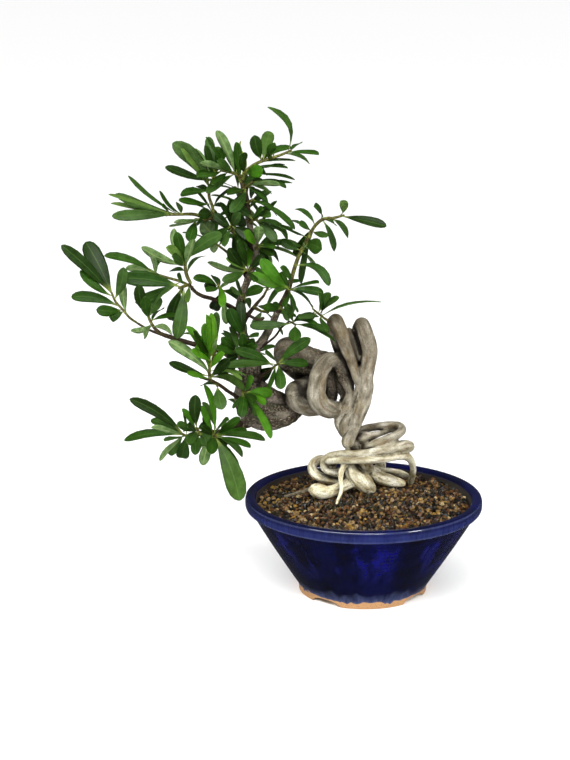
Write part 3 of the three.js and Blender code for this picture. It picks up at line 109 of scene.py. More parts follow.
COILED_ROOTS = [
    # Right upper loop, down the front, round the elbow and through the upper coil.
    [(-4, 176, 13, 4), (-5, 187, 12, 4.6), (-4, 195, 8, 5), (-2.2, 197.3, 3, 5.2),
     (0.4, 190, 0, 5.7), (3.2, 180, 0, 5.6), (3, 172, 0, 5.6), (1, 160, 0, 5.2), (0.3, 150, 0, 6),
     (-1.1, 140, -1, 5.4), (-4.6, 130, -2, 5.1), (-7.4, 121, -3, 4.6), (-10, 115, -5, 4.3),
     (-11.4, 110.4, -6, 5), (-7.5, 107, -1, 3.8), (-2, 105.6, 2, 3), (4, 107.2, -4, 3.1),
     (10, 109.5, -6, 3.4), (17, 112.6, -5, 3.4), (24, 116, -1, 3.3), (27.4, 119.4, 4, 3.2),
     (25.5, 122.2, 10, 3.2), (18, 122.6, 14, 3.2), (10, 122, 15, 3.2), (3, 121, 14, 3),
     (-4, 119, 9, 2.6)],
    # Left upper loop, running down into the right one.
    [(-17, 174, 12, 3.8), (-21, 187, 12, 4.4), (-23, 196, 9, 4.9), (-21, 200, 4, 5),
     (-18.6, 195.5, 1, 5.1), (-16.2, 189, 0, 5.1), (-13.2, 180, 0, 4.8), (-9.6, 171, 0, 4.1),
     (-7, 163, -1, 3.5), (-4.5, 156, -1.5, 3.6), (-1.5, 148, 1, 3.5)],
    # Thin root beside it.
    [(-11.5, 193, 5, 2.2), (-9.8, 188, 3.6, 2.3), (-7, 180, 3.5, 2.2), (-4, 172, 4, 2.2)],
    # The round loop at the left, then down beside the front root and out to the right.
    [(-14, 137, 8, 4.5), (-20, 134.8, 1, 6), (-26, 135, -4, 6.6), (-31, 138, -6, 6.8),
     (-34.2, 144, -7, 6.8), (-34.6, 151, -7, 6.7), (-33.4, 159, -6, 6.6), (-30.6, 166, -4, 6.3),
     (-25.8, 171, 0, 5.8), (-20.2, 170.3, 5, 5.3), (-17.4, 165, 7, 5), (-15.2, 158.5, 6, 4.5),
     (-12, 152.5, 3, 3.5), (-10.4, 146, 0, 3.2), (-12.4, 140.3, -1, 3.3), (-15.6, 135, -1, 3.5),
     (-17.4, 130, -1, 3.4), (-18.6, 125.5, 0, 3.1), (-17, 120.5, 2, 3.1), (-13.5, 116.3, 4, 3.4),
     (-7, 113.6, 4, 4.2), (0, 113.9, 2, 4.7), (6, 115.2, 4, 3.1), (12, 117, 8, 2.1),
     (19, 119.4, 12, 2), (24.5, 121.6, 11, 2.4)],
    # Two thin strands wound between the front roots.
    [(-5.4, 152, -3, 1.4), (-6.6, 147, -3.4, 1.6), (-9.2, 139.5, -3.4, 1.7),
     (-12.4, 132.5, -3, 1.6), (-14.5, 129, -1.5, 1.4)],
    [(-7, 137, -2, 2), (-10, 132.5, -3, 2.2), (-12.8, 127.5, -3.5, 3.2), (-14.2, 122, -3, 3.5),
     (-13.4, 116.5, -2, 3), (-11, 112, -1, 3)],
    # Long coil: in at the back right, across the front and round the left bend.
    [(18, 104, 26, 3.4), (29, 106, 18, 3.8), (32.6, 107, 9, 4.2), (29.5, 107.6, 1, 4.4),
     (22, 106.4, -6, 3.8), (12, 104, -10, 3), (2, 102.6, -12, 2.6), (-8, 102, -12, 2.4),
     (-18, 102, -9, 2.3), (-26, 99.8, -4, 2.3), (-29.4, 95, 0, 2.3), (-28.4, 90.4, 1, 2.4),
     (-23.5, 88, 3, 2.7), (-16, 88, 6, 3.2), (-9, 89.5, 8, 3.6)],
    # Its twin just under it, down at the right into the soil.
    [(-22, 94.5, 9, 2.4), (-25.6, 95.8, 3, 2.8), (-24.5, 97, -4, 2.9), (-15, 97, -9, 2.9),
     (-4, 96.9, -12, 3), (6, 97.1, -12, 3), (16, 98.2, -9, 3), (25, 99.9, -4, 3),
     (31.2, 99.4, 2, 3), (34.6, 95.4, 8, 2.6), (35.7, 90, 15, 2.4), (35.2, 85, 22, 2.4),
     (34.4, 80.5, 27, 2.4)],
    # Loop at the far left, down to the soil.
    [(18, 104, 26, 3.4), (2, 101.5, 28, 3.8), (-13, 98.5, 26, 3.8), (-25, 97, 20, 3.6),
     (-33, 97, 14, 3.5), (-37, 93.2, 10, 3.4), (-36.6, 88.2, 6, 3.5), (-32.6, 84.6, 5, 3.5),
     (-26, 82.6, 8, 3.4), (-19, 81, 10, 3.4), (-11, 79, 12, 4)],
    # Stout pale root, down to the right.
    [(-10, 95.5, -4, 3.6), (-9, 91, -3, 4.6), (-7.6, 87, -2, 5.8), (-3.6, 83, -1, 6.9),
     (1.2, 78.8, 0, 6.5), (4.6, 75.6, 1, 4.8)],
    # Root behind it, running right in a spindle.
    [(-6, 91.5, 4, 2.6), (1, 91, 5, 2.2), (6.5, 90.6, 9, 2), (10.5, 88.6, 14, 2)],
    [(1.5, 88.4, 4, 1.6), (6, 86, 8, 3), (12, 83.4, 12, 4.5), (18, 81.7, 14, 4.8),
     (24, 80.2, 15, 4.1), (27.8, 79.4, 15, 3)],
    # Root at the back right.
    [(6, 91.5, 14, 2), (12, 89.6, 18, 2.3), (20, 88.2, 23, 2.5), (26.5, 87, 26, 2.8),
     (30.2, 85.4, 27, 2.6)],
    # Cut root stub at the front left, with a dead end on the soil.
    [(-34.4, 73.6, -15, 5.2), (-31, 72.8, -14, 5.8), (-26.5, 72.4, -12, 4.8), (-21, 74, -9, 4.1),
     (-15, 77, -6, 4), (-8, 80.5, -1, 4.4)],
    # Thin root at the front.
    [(-12.5, 94.5, -8, 2.2), (-14.8, 91.5, -9, 2.2), (-16.4, 87, -11, 2.1), (-16.6, 82, -13, 1.9),
     (-15.9, 77, -15, 1.7), (-16.6, 71.5, -17, 1.5), (-18.6, 66.5, -20, 1.3),
     (-19.4, 63, -22, 1.1)],
    # Roots at the back that carry the coils.
    [(-20, 98, 24, 3.6), (-24, 92, 30, 3.8), (-24, 86, 34, 4), (-20, 79, 36, 4), (-24, 66, 38, 3),
     (-29, 56, 38, 1.6)],
    [(6, 101, 28, 3.6), (12, 95, 34, 4), (11, 89, 38, 4.2), (7, 82, 40, 4), (12, 68, 42, 3),
     (18, 58, 42, 1.6)],
    [(0, 96, -6, 4), (2, 91, 6, 5), (2, 85, 14, 6), (0, 76, 20, 6.5), (-1, 62, 20, 4.6),
     (-2, 46, 18, 2)],
]
# Roots in dark rough bark; those behind the loops are dark to stand in for the shade there (painted
# shade).
DARK_ROOTS_AND_SHADE_FILLS = [
    # Strands behind the round loop, in dark rough bark that stands in for the shade there: painted
    # shade.
    [(-27, 168, 12, 4.5), (-25.5, 160, 15, 5), (-24.3, 152, 16, 4.9), (-24, 145, 15, 4.6),
     (-26, 137, 11, 4.6)],
    [(-18, 163, 10, 3.8), (-17.4, 156, 12, 3.6), (-16.8, 150, 12, 3), (-15.6, 144, 10, 1.9),
     (-15, 138, 7, 2.4)],
    [(-19, 171, 8, 4.6), (-15.4, 165, 10, 5.1), (-13.6, 158, 10, 5), (-11.4, 152, 9, 4.2),
     (-11.5, 147, 8, 3.2), (-12.5, 142, 6, 2.6), (-13, 137, 4, 2.6)],
    [(-6.4, 177, 9, 2.6), (-4.6, 170, 9, 3), (-3, 163, 6, 2.6)],
    # Thin root lying on the soil at the left.
    [(-34, 76.5, -14, 1.7), (-41, 74.2, -13, 1.6), (-49, 71.5, -13, 1.4), (-57, 69.3, -14, 1.1)],
    # The root at the back that carries the knot.
    [(-14, 140, 9, 4), (-11.5, 130, 9, 4.5), (-9.5, 119, 8, 4.5), (-9, 109, 7, 4.5),
     (-7, 99, 5, 4.5), (-3, 91, 6, 5)],
]
TRUNK = [
    # The arch, going back behind the knot, and the strand under it.
    [(-22, 170.5, 7, 5), (-30, 172.3, 5, 5.4), (-36, 173.2, 4, 6.4), (-42, 175, 3, 6.8),
     (-49, 178.4, 3, 7.2), (-55.5, 180.8, 5, 7.2), (-58.4, 177, 9, 7), (-57, 171, 15, 6.6),
     (-51, 165, 21, 6.6), (-43, 159.5, 22, 6.8), (-36, 155, 17, 6.8)],
    [(-56, 168, 15, 5), (-48, 167, 12, 6), (-40, 166, 9, 6), (-33, 164, 6, 5)],
    # The swollen loop.
    [(-33, 156, 14, 6.4), (-41, 152, 8, 7.4), (-49.6, 147.4, 1, 8.1)],
    [(-49.6, 147.4, 1, 8.1), (-47.4, 141.4, 1, 7.9), (-41, 137.8, 2, 7.5), (-33, 136.8, 5, 6.5),
     (-25, 138, 9, 5)],
    # The rough trunk, turning up.
    [(-42, 152, 19, 6), (-46, 143, 16, 7.4), (-53, 134.8, 10, 8.6), (-60, 131, 6, 9.5),
     (-68, 130.2, 4, 10.6), (-75.4, 131.2, 4, 11.6), (-80.5, 138, 6, 11.3), (-82.5, 148, 8, 10.3),
     (-82, 158, 9, 8.8), (-80.6, 167, 9, 7), (-79.6, 175, 8, 5)],
    [(-79, 150, 8, 8.5), (-71, 144.5, 8, 8.2), (-63, 141, 9, 7.8), (-56, 136.5, 12, 7)],
]
# How rough and dark the bark is along the root of the round loop, one of the coiled roots; the dark
# stretch on the loop's back leg is painted shade.
ROUND_LOOP_RUN = 3
ROUND_LOOP_ROUGH_AND_SHADE = (0,) * 6 + (0.7, 0.95, 0.6) + (0,) * 8
# The same along each of the trunk's strands; the dark far end of the arch and the dark strand under
# it are painted shade.
TRUNK_ROUGHNESS_AND_SHADE = [
    (0.95, 0.6, 0.45, 1.0), (1.0,), (0.5, 0.1, 0.0), (0.0, 0.2, 0.6), (0.9, 1.0), (1.0,),
]
BRANCHES = [
    # Leader, up to the apex.
    [(-80.4, 168, 9, 6), (-83.4, 179, 10, 4), (-87.6, 192, 11, 3.3), (-89.6, 206, 11, 3),
     (-87, 219, 9, 2.7), (-83, 230, 7, 2.5), (-79, 241, 5, 2.3), (-77, 250, 5, 2.3),
     (-79, 259, 6, 2.3), (-82, 269, 7, 2.3), (-83.3, 281, 7, 2.1), (-85, 292, 7, 1.9),
     (-87.4, 299, 6, 1.5)],
    # Right branch.
    [(-80, 169, 8, 5.4), (-77.8, 178, 5, 3.4), (-72, 187, 2, 2.9), (-66.5, 197, 0, 2.5),
     (-62, 207, -2, 2.2), (-57.4, 216, -4, 2), (-54.4, 223, -5, 1.8), (-52.2, 231, -6, 1.5)],
    # Upper left branch.
    [(-77.5, 250, 5, 2), (-84, 256.5, 9, 1.9), (-91, 262.4, 12, 1.9), (-99, 267.8, 13, 1.8),
     (-107, 272.2, 13, 1.6), (-114, 274.2, 12, 1.3)],
    # Middle left branch.
    [(-89.4, 203, 11, 2.6), (-94, 209, 7, 1.8), (-101, 212.6, 3, 1.6), (-109, 216, 0, 1.5),
     (-116, 218, -2, 1.4), (-121, 221.4, -4, 1.3), (-124.4, 226, -5, 1.1)],
    # Lower left branch and its side twig.
    [(-82, 170, 8, 4), (-92, 176, 2, 2.4), (-104, 178.5, -4, 2.1), (-116, 181.5, -8, 1.9),
     (-127, 184.3, -10, 1.8), (-137, 187.5, -11, 1.7), (-146, 191, -12, 1.5),
     (-150, 195, -13, 1.2)],
    [(-140, 188.6, -11, 1.4), (-148, 191, -8, 1), (-156, 194.6, -6, 0.9), (-162, 198.4, -5, 0.8)],
    # Twigs at the front.
    [(-84, 138, -2, 2.4), (-92, 144.5, -11, 1.4), (-98, 148.5, -16, 1.3), (-104, 153, -20, 1.2),
     (-110, 156.3, -23, 1.1), (-117.5, 158.3, -24, 0.8)],
    [(-80, 128, -4, 3.4), (-90, 124, -12, 2.1), (-100, 119.5, -20, 1.7), (-110, 117, -26, 1.5),
     (-119, 116, -29, 1.2), (-127, 114.8, -30, 0.9)],
    [(-80, 156, 5, 3), (-75.6, 158.4, -1, 2.2), (-71, 161.5, -6, 1.3), (-66, 165, -11, 1)],
    [(-77.6, 178.5, 4, 1.8), (-70, 183.6, 0, 0.9), (-64, 188.6, -4, 0.8), (-59.4, 195, -7, 0.7),
     (-54, 199.4, -9, 0.7)],
    [(-89, 207, 10, 1.8), (-82, 203.4, 5, 1.1), (-75, 200.4, 0, 1.1), (-72.6, 201.8, -1, 1.2)],
    # Twigs at the back.
    [(-88, 196, 12, 2.4), (-84, 203, 24, 1.7), (-78, 211, 36, 1.3), (-72, 218, 46, 1)],
    [(-83, 231, 8, 2.2), (-88, 238, 20, 1.6), (-94, 246, 32, 1.2), (-100, 251, 42, 0.9)],
    [(-82, 160, 14, 3), (-88, 165, 26, 2), (-94, 171, 38, 1.5), (-101, 176, 48, 1.1)],
    [(-72, 129, 10, 3), (-80, 124, 24, 1.9), (-90, 121, 36, 1.4), (-99, 120, 44, 1)],
]
SHOOTS = {
    "left_tip": Shoot(
        [(-162, 198.4, -5, 0.8), (-167, 202, -8, 0.9), (-172, 208, -10, 0.9),
         (-177, 214, -11, 0.9), (-179.4, 220, -11, 0.8)],
        [(1, -214, 254, 8.5, -1.5, D), (1, -197, 256.5, 12.5, -1, D), (0.98, -201.5, 236, 6.5, 2),
         (0.7, -208, 217, 8, -3), (0.5, -190.5, 208, 8, 1), (0.3, -181.5, 202, 8, 0),
         (0.85, -170.5, 238.5, 8, -1.5), (0.45, -171.3, 227.5, -6, 1, G)],
    ),
    "left_middle": Shoot(
        [(-150, 195, -13, 1.2), (-152.5, 199.5, -15, 1.1), (-154.6, 205, -16, 0.9)],
        [(1, -160, 226, 8, 2, D), (0.9, -147.5, 217.5, 9, -1), (0.8, -138, 222.5, 2.2, 2.5),
         (0.7, -143, 208.6, 2.2, 1.5), (1, -156, 217.5, 7.5, 1), (0.5, -132.5, 204, 4, 1),
         (0.35, -137, 191, -5, 1), (0.5, -166, 192.4, -5, 2), (0.5, -157, 188.4, -4.5, 0)],
    ),
    "left_long": Shoot(
        [(-124.4, 226, -5, 1.1), (-127.6, 225, -8, 1.2), (-131.6, 223.6, -11, 1.1)],
        [(1, -171.5, 230.5, 11, -2, M), (0.9, -137.5, 200, 9.5, -1, D), (0.85, -134, 187, 10, 1),
         (0.75, -131.4, 234.6, 2.6, 2, G), (0.5, -125.6, 213.6, 4.6, 0, L),
         (0.6, -129.4, 217.6, 3, 0)],
    ),
    "left_behind": Shoot(
        [(-122.6, 224, -3, 1.2), (-130, 228, 2, 1.1), (-140, 231, 6, 1), (-149.5, 234, 8, 0.9)],
        [(1, -184, 246.4, 5.6, -3), (0.95, -141, 247, 6, 3), (1, -151, 248, -4, 0),
         (0.9, -169, 237, -5, -2, G), (0.8, -163, 213, 7, 1)],
    ),
    "left_upper": Shoot(
        [(-123.8, 227.4, -4, 1.2), (-126, 232, -3, 1.4), (-127.2, 238, -3, 1.3),
         (-126.6, 244, -4, 1.2)],
        [(0.7, -101, 262, 10, 2.5, G), (0.5, -113, 246.8, 3, 3, G), (1, -133, 263.5, 7.5, 0),
         (0.95, -158, 252.6, -6.5, 2, L), (1, -140.4, 252.6, 6, -2, L), (0.95, -134.6, 266, -6, 3),
         (0.8, -136.5, 246.4, 6, 0), (0.7, -137.4, 236.6, 3.6, 0), (0.9, -121.5, 258, -6, 0, L)],
    ),
    "upper_left_hanging": Shoot(
        [(-109, 273, 12, 1.4), (-114.5, 272, 7, 1.1), (-119.6, 272.4, 4, 1)],
        [(0.95, -124.2, 257, 8, 0, M), (0.8, -108, 262, -12, 0, L), (1, -134.5, 270.4, -3, 1),
         (1, -137.5, 267.6, -2, 1), (0.7, -115.6, 274.6, 7, 4)],
    ),
    "upper_left_tip": Shoot(
        [(-114, 274.2, 12, 1.3), (-121.5, 276, 11, 1.2), (-132, 275.8, 9, 1),
         (-143, 275.4, 6, 0.8)],
        [(1, -178, 274.6, 8, -0.5), (0.95, -175, 290.4, 6.5, 3), (1, -180, 290, 3, 0, L),
         (1, -178.4, 284.4, 3.2, 1, L), (0.96, -142.4, 281.4, 2, 0), (0.62, -166, 303, 3, 3.5),
         (0.3, -144, 292.6, 3, 3), (0.5, -131, 284, 4, 1)],
    ),
    "upper_left_top": Shoot(
        [(-106.5, 272.3, 13, 1.4), (-107.6, 281, 14, 1.1), (-110, 289, 13, 1.1),
         (-108.6, 297, 12, 1.1), (-105, 304.5, 11, 1)],
        [(0.5, -135, 325.4, 12, -5, G), (1, -140, 309.4, 6, 1.5, D), (0.9, -129, 321.6, 4, 0, L),
         (0.95, -121.6, 321, -4.6, -2, L), (1, -112.6, 324, 5, 0), (1, -110, 330, 7, 0),
         (0.75, -118, 302, 5, -2), (0.5, -130, 290, 6, -1), (0.42, -131, 286, 5, 1),
         (1, -103, 323.5, 8, 0), (0.97, -98.6, 322.4, 6, 0), (0.3, -99, 282, 3.4, 0),
         (0.75, -114, 292.6, 5, 0, D), (0.7, -117.5, 296, 4, 0, D), (0.25, -117, 276.4, 8, 0, D),
         (0.25, -91, 295.4, 2.6, 2, D)],
    ),
    "apex_left": Shoot(
        [(-87.4, 299, 6, 1.5), (-90, 303.4, 4, 1.3), (-95.6, 305.6, 2, 1.1),
         (-101.4, 306.6, 0, 0.9)],
        [(0.6, -104, 334.6, -7, -1, L), (0.35, -102.6, 327, 4.6, -2.5), (0.3, -91, 326.4, 6, 0),
         (0.2, -89, 322.4, 3, -3, Y), (0.75, -103.6, 313.5, 6, 0), (0.4, -87.4, 327, 2, 0, Y),
         (1, -118.4, 302.6, 4.4, 1, M), (0.9, -112, 329.6, 2.4, 0), (0.8, -116, 312, -5, 0),
         (0.5, -97, 320, 6, 0, D), (0.6, -111.6, 290.6, 6, -1, M), (0.2, -84, 319, 5, 0, D),
         (0.85, -108, 297, 5, 0, D)],
    ),
    "apex_right": Shoot(
        [(-86.6, 300.4, 5, 1.3), (-83.4, 306.6, 0, 1.3), (-77, 311.4, -3, 1.2),
         (-68.6, 314.6, -5, 1.1), (-60, 317.4, -6, 1), (-53, 320.4, -7, 0.8)],
        [(0.35, -78, 331, 8.4, 1, D), (0.4, -67, 333.6, 8.8, 1, M), (0.5, -64, 325.6, 6, 1),
         (0.5, -52.4, 322.8, 5, 2), (1, -69, 350.5, 4.2, -7.5, M), (1, -46, 326.2, 2, 0),
         (0.95, -33.6, 317.6, 3.2, 1), (0.96, -39.8, 311.8, 3.2, 1), (0.2, -72.6, 307, 9.5, 0, B),
         (0.5, -70, 325, 5, 0), (0.6, -66, 317, 6, 0, D), (0.5, -50, 313.4, 1.6, 0.5, D),
         (0.35, -55, 308.4, 1.8, 0.5, D), (0.3, -57, 310.6, 1.8, 0, D),
         (0.25, -50, 300.4, 2.2, 1, D), (0.3, -70, 305, 5, 0, D), (0.15, -88, 318, 6, 0, D)],
    ),
    "apex_below": Shoot(
        [(-85.4, 293.5, 7, 1.4), (-83, 296, 3, 1.1), (-80, 298.6, -1, 0.9)],
        [(1, -56, 294.6, 3.6, 2.5, M), (0.95, -52, 297.8, 2.2, 0),
         (0.95, -60.5, 296.4, -4.4, 1, L), (0.7, -69, 284.6, 5, 0.5), (0.8, -70.6, 287, 2, 0),
         (0.6, -79.5, 289.5, 6, 0, M), (0.5, -95.4, 278, 8.5, 2, G), (1, -66, 291, 3, 0, L),
         (0.3, -97, 290, 5, 0, D), (0.9, -72, 300, 5, 0, D)],
    ),
    "leader_right": Shoot(
        [(-83.4, 283, 7, 1.4), (-81.4, 285.2, 3, 1), (-79.4, 286.4, -1, 0.9)],
        [(1, -50, 265.4, 4.3, 2.5), (1, -62.5, 275.4, 3.6, 1.5), (0.9, -73, 283.4, 2.6, 0),
         (0.8, -74.8, 276, 2, 0), (0.7, -100.5, 289, 1.8, 2)],
    ),
    "centre_right_upper": Shoot(
        [(-82, 269.5, 7, 1.4), (-79, 271.8, 1, 1), (-76.6, 272.4, -3, 0.9)],
        [(1, -66.8, 274, 4, 2.5), (1, -67, 270.8, 3.2, -1), (0.85, -63.4, 256.6, 7.4, 1.5),
         (0.8, -55, 257, 5, 5), (0.7, -72, 279.5, 3.4, 1), (0.2, -98, 281, 9, -2.5, D),
         (0.9, -57, 262.8, 2, 0, D), (0.5, -70, 281, 5, 0, D)],
    ),
    "centre": Shoot(
        [(-77.6, 251.6, 5, 1.4), (-76.6, 253.4, -2, 1), (-76, 254.6, -6, 0.9)],
        [(1, -75, 267.6, -7.6, 0, L), (0.9, -46, 254.4, 5, 1.5), (0.8, -64.6, 251.8, 3, 1),
         (0.75, -61.2, 242.6, 4.8, 2), (0.9, -86, 264, 6, 0, B), (0.7, -70, 239.6, 6, 1, D),
         (0.5, -65, 247, 5, 0, D), (0.95, -48, 246, 2.6, 1, L), (0.6, -63, 262, 5, 0, D)],
    ),
    "centre_left": Shoot(
        [(-80.6, 236.6, 6, 1.4), (-83, 236.4, 1, 1.2), (-85, 236, -3, 1)],
        [(0.9, -96.4, 252, 8, 1, D), (0.8, -81.6, 257, 7, -1, B), (1, -101.4, 229, 7, 1),
         (1, -111, 242.2, -4.6, 3, L), (0.95, -98.6, 244.6, 5, 0, L), (0.9, -89, 254, 5, 0, M),
         (0.8, -79, 228, 4, 1), (0.9, -97, 239, 6, 0, D), (0.8, -90, 257, 6, 0, D),
         (0.5, -72, 247, 6, 0, D)],
    ),
    "centre_left_upper": Shoot(
        [(-93, 263.8, 12, 1.4), (-94.2, 266.4, 6, 1), (-94.6, 268, 2, 0.9)],
        [(1, -79, 259, 9, 0, D), (0.9, -84, 270.6, 9, 2), (0.8, -99.4, 253.4, 5, -1),
         (1, -101.6, 284, 4.2, 0), (0.95, -88, 277, 7, 1), (0.9, -107, 259, 6, 0),
         (0.9, -96, 286, 5, 0, D), (0.6, -90, 247, 7, 0, D), (0.4, -84, 250, 6, 0, D),
         (0.7, -107, 276, 7, 0, D)],
    ),
    "centre_low_right": Shoot(
        [(-86.6, 220.6, 9, 1.4), (-86.6, 217.6, 4, 1), (-86, 215.6, 0, 0.9)],
        [(1, -72.6, 223.4, 7.4, 2), (1, -81, 211.4, 6, 0), (0.9, -92, 228.4, 3, 0),
         (0.95, -96, 224, 4, 0)],
    ),
    "hanging_bright": Shoot(
        [(-100.8, 212.6, 3, 1.4), (-101, 217, 0, 0.9), (-103, 222, -2, 0.9),
         (-103.6, 226.4, -3, 0.8)],
        [(0.95, -101.4, 209.6, 6, 1, B), (0.6, -107.6, 207.8, 8.4, 0, D),
         (0.98, -121.6, 230.4, 5.4, -2), (1, -107.6, 232, 4.6, 0), (1, -97.8, 227, -3, 0, L),
         (0.95, -84.6, 213, 7, 2), (0.9, -112.4, 221, 5, 0), (0.35, -98.5, 197.6, -5.6, 0),
         (0.95, -114, 226, 6, 0, D)],
    ),
    "lower_upright": Shoot(
        [(-84.6, 183, 10, 1.4), (-85.4, 185.6, 4, 1.2), (-85.6, 188, -1, 1)],
        [(1, -96.6, 209, 9, 1, M), (1, -88, 214, 7.4, 1, D), (0.8, -76, 188.4, 2.6, 1.5),
         (0.9, -91, 203, 6, 0)],
    ),
    "right_round": Shoot(
        [(-54, 199.4, -9, 0.7), (-52, 198.6, -11, 0.8), (-49.6, 197, -13, 0.8)],
        [(1, -50, 184.8, 9, 0), (0.7, -82, 196.6, 7, 1), (0.9, -57.6, 211.4, 5, -1),
         (1, -33.4, 203.6, 5, 1), (1, -34, 197, 2.4, 2), (1, -25.4, 192, 5, 1),
         (1, -21.2, 184.2, 2.8, 2.5), (1, -45.4, 204.4, 3, 0)],
    ),
    "right_branch_leaves": Shoot(
        [(-54.4, 223, -5, 1.4), (-54, 222.6, -10, 1), (-53.8, 222, -13, 0.9)],
        [(0.9, -74, 244.4, 9, 1, B), (1, -80.4, 234, 8, 1, B), (0.7, -60.4, 238.4, 3, -3),
         (0.8, -60, 235, 5, 0), (1, -62.4, 220.6, 2.8, -1), (1, -50.4, 205.6, 4.2, 0),
         (0.9, -48.4, 206, 2.6, -1), (0.8, -30, 219.6, 6.4, 1, M), (0.8, -33, 227.2, 2.4, 0.5),
         (0.9, -37.6, 209.6, 2, 2), (1, -57, 211, 4, 0), (0.8, -66, 229, 5, 0, D)],
    ),
    "right_branch_side": Shoot(
        [(-60.6, 209.6, -3, 1.4), (-59.6, 209, -9, 1), (-59.6, 208.4, -12, 0.9)],
        [(1, -72.2, 210.2, 6.4, 0), (0.9, -65, 213.6, 3, 0), (0.9, -54.4, 200, 4, 0),
         (1, -53, 205, 6, 0, D)],
    ),
    "right_tip": Shoot(
        [(-52.2, 231, -6, 1.5), (-49.6, 240, -7, 1.5), (-46.6, 248, -8, 1.4),
         (-42.6, 256, -9, 1.3), (-39, 263, -10, 1.2), (-35, 269, -11, 1.2), (-30, 272.6, -12, 1.2),
         (-23, 273.4, -12, 1), (-16, 275.2, -12, 0.8)],
        [(0.98, 14, 267.4, 6.6, 0.5, D), (0.87, -13, 259.8, 4.7, 1.5), (0.56, -27.6, 260, 4.6, 0),
         (0.5, -21.4, 250.4, 5, 0), (0.42, -31.4, 251, 11, 1.5), (0.6, -50, 279.4, 3.6, -2.5, M),
         (0.54, -46.4, 268.6, 4, -1), (0.56, -54.4, 272, 2.2, -1), (0.78, -37, 281.4, 2.4, -2, M),
         (0.82, -21.6, 269, 4, 1), (1, -18, 285.2, 5, -2.5, L), (0.3, -38, 240.4, -2.6, 1, L),
         (0.36, -41.6, 253.4, -6, 0), (0.34, -60, 258, 6, 1), (0.12, -26, 225, 6.2, 6.5),
         (0.2, -46.4, 226.6, 5, 0), (0.45, -61, 267.4, 2.4, 0, D), (0.34, -50, 246, 8, 0, D)],
    ),
    "knot_top": Shoot(
        [(-24.4, 199, 5, 1.4), (-29, 201.6, -1, 0.9), (-33.2, 205, -4, 0.9),
         (-37.4, 208.6, -6, 0.7)],
        [(0.75, -33, 219.4, 3.2, 0, M), (0.75, -26, 220.2, 6.2, 0), (0.75, -19, 216.6, 4, 1),
         (0.72, 11, 214.2, 1.7, 2.5), (0.95, -47.2, 202, 5, 1), (0.9, -40, 200.6, 4, 1),
         (0.6, -27.4, 192.8, 4.4, -1)],
    ),
    "knot_front": Shoot(
        [(-66, 165, -11, 1), (-63.6, 167.4, -14, 0.9), (-61.4, 168.6, -16, 0.8)],
        [(1, -38.8, 187, 8, 1.5), (1, -40, 168.4, 6.4, 1), (0.95, -60, 149.8, 8, 0.5),
         (0.7, -75.6, 158, 9.5, 0), (0.8, -93, 178.6, 8, -2), (0.7, -100, 166.6, 6, -1),
         (1, -71, 176.2, 2.6, -1), (1, -55.6, 169.6, -2.6, 0), (0.9, -67.6, 150, 4, 0)],
    ),
    "bright": Shoot(
        [(-110, 156.3, -23, 1.1), (-111, 160, -26, 1.2), (-110.6, 166, -28, 1.1),
         (-108, 173, -30, 0.9), (-106, 179, -31, 0.8)],
        [(0.5, -127.4, 195.6, 5.4, -3, B), (0.4, -140, 185, -8, -2, L),
         (0.95, -112.6, 204.4, 4.4, 0, B), (0.7, -109.6, 205.6, 5.4, -3, B),
         (0.9, -114, 198, 6.6, 1, B), (0.75, -97.8, 181, 1.8, 0, Y), (1, -105, 188, -3, 0, Y),
         (0.3, -139.4, 169.6, 6, 1.5, D), (0.25, -126.2, 161.4, 4, 0, B),
         (0.3, -121, 170, -3, -2, L), (0.25, -87.6, 157, 2.6, 3, L), (0.2, -86, 149, 6.5, 4, M),
         (0.85, -122.6, 192.4, 4, 2, D), (0.6, -114.6, 186, 3.4, 0, B), (0.6, -100, 176, 5, 1, B),
         (0.5, -121, 181, 5, 0, B), (0.5, -96.6, 172, 7, 0, D), (0.35, -92, 167, 6.5, 0, D),
         (0.3, -84.5, 160, 2.2, 3.5, L), (0.4, -98, 162, 5, 1, D), (0.5, -124, 178, 5, 0, B)],
    ),
    "twig_hanging": Shoot(
        [(-104.6, 153.2, -20, 1.2), (-106, 153.6, -24, 0.9), (-105.4, 152, -27, 0.8)],
        [(1, -102, 134.8, 9.4, -0.5), (0.8, -117, 152.6, 3, -1)],
    ),
    "middle_dark": Shoot(
        [(-85, 173.4, 6, 1.4), (-88, 175, -4, 1.2), (-91, 177, -9, 1)],
        [(1, -102, 187.6, 7, 0), (0.9, -95.6, 195.6, 4.8, 0), (0.8, -77, 182, 6, 1),
         (1, -100.5, 193, 4, -1), (0.9, -88, 190, 6, 0), (0.7, -76, 174, 6, 0),
         (1, -106, 179, 6, 0), (0.95, -100, 182, 7, 0, D), (0.6, -79, 187, 6, 0, D),
         (0.9, -98, 171.6, 7, 0, D)],
    ),
    "low_front": Shoot(
        [(-84.4, 146, -2, 1.4), (-85.6, 147.4, -11, 1.3), (-87.4, 147.6, -15, 1)],
        [(0.9, -89, 129, 8, 1), (0.7, -77, 129, 6.4, 2), (0.6, -67.4, 113, 5.6, 2, B),
         (0.7, -66, 146.4, 7.4, 1, B), (0.8, -71.6, 138, 5, 2, B), (1, -95, 136, 3, 1),
         (0.8, -80, 158.6, 5, 0, B), (0.7, -83, 136.6, 5, 0), (0.9, -80, 140, 6, 1, D)],
    ),
    "bottom_left": Shoot(
        [(-127, 114.8, -30, 0.9), (-129.4, 115.6, -33, 1), (-131.4, 117, -34, 0.8)],
        [(0.9, -168.4, 142.6, 8, -3, D), (1, -153.4, 127, 6.4, -1), (1, -153.4, 121.6, -4, 0),
         (1, -173, 112, 6.4, -3), (0.9, -144, 111.4, 3, 0), (0.8, -140.4, 101, 6.4, 0),
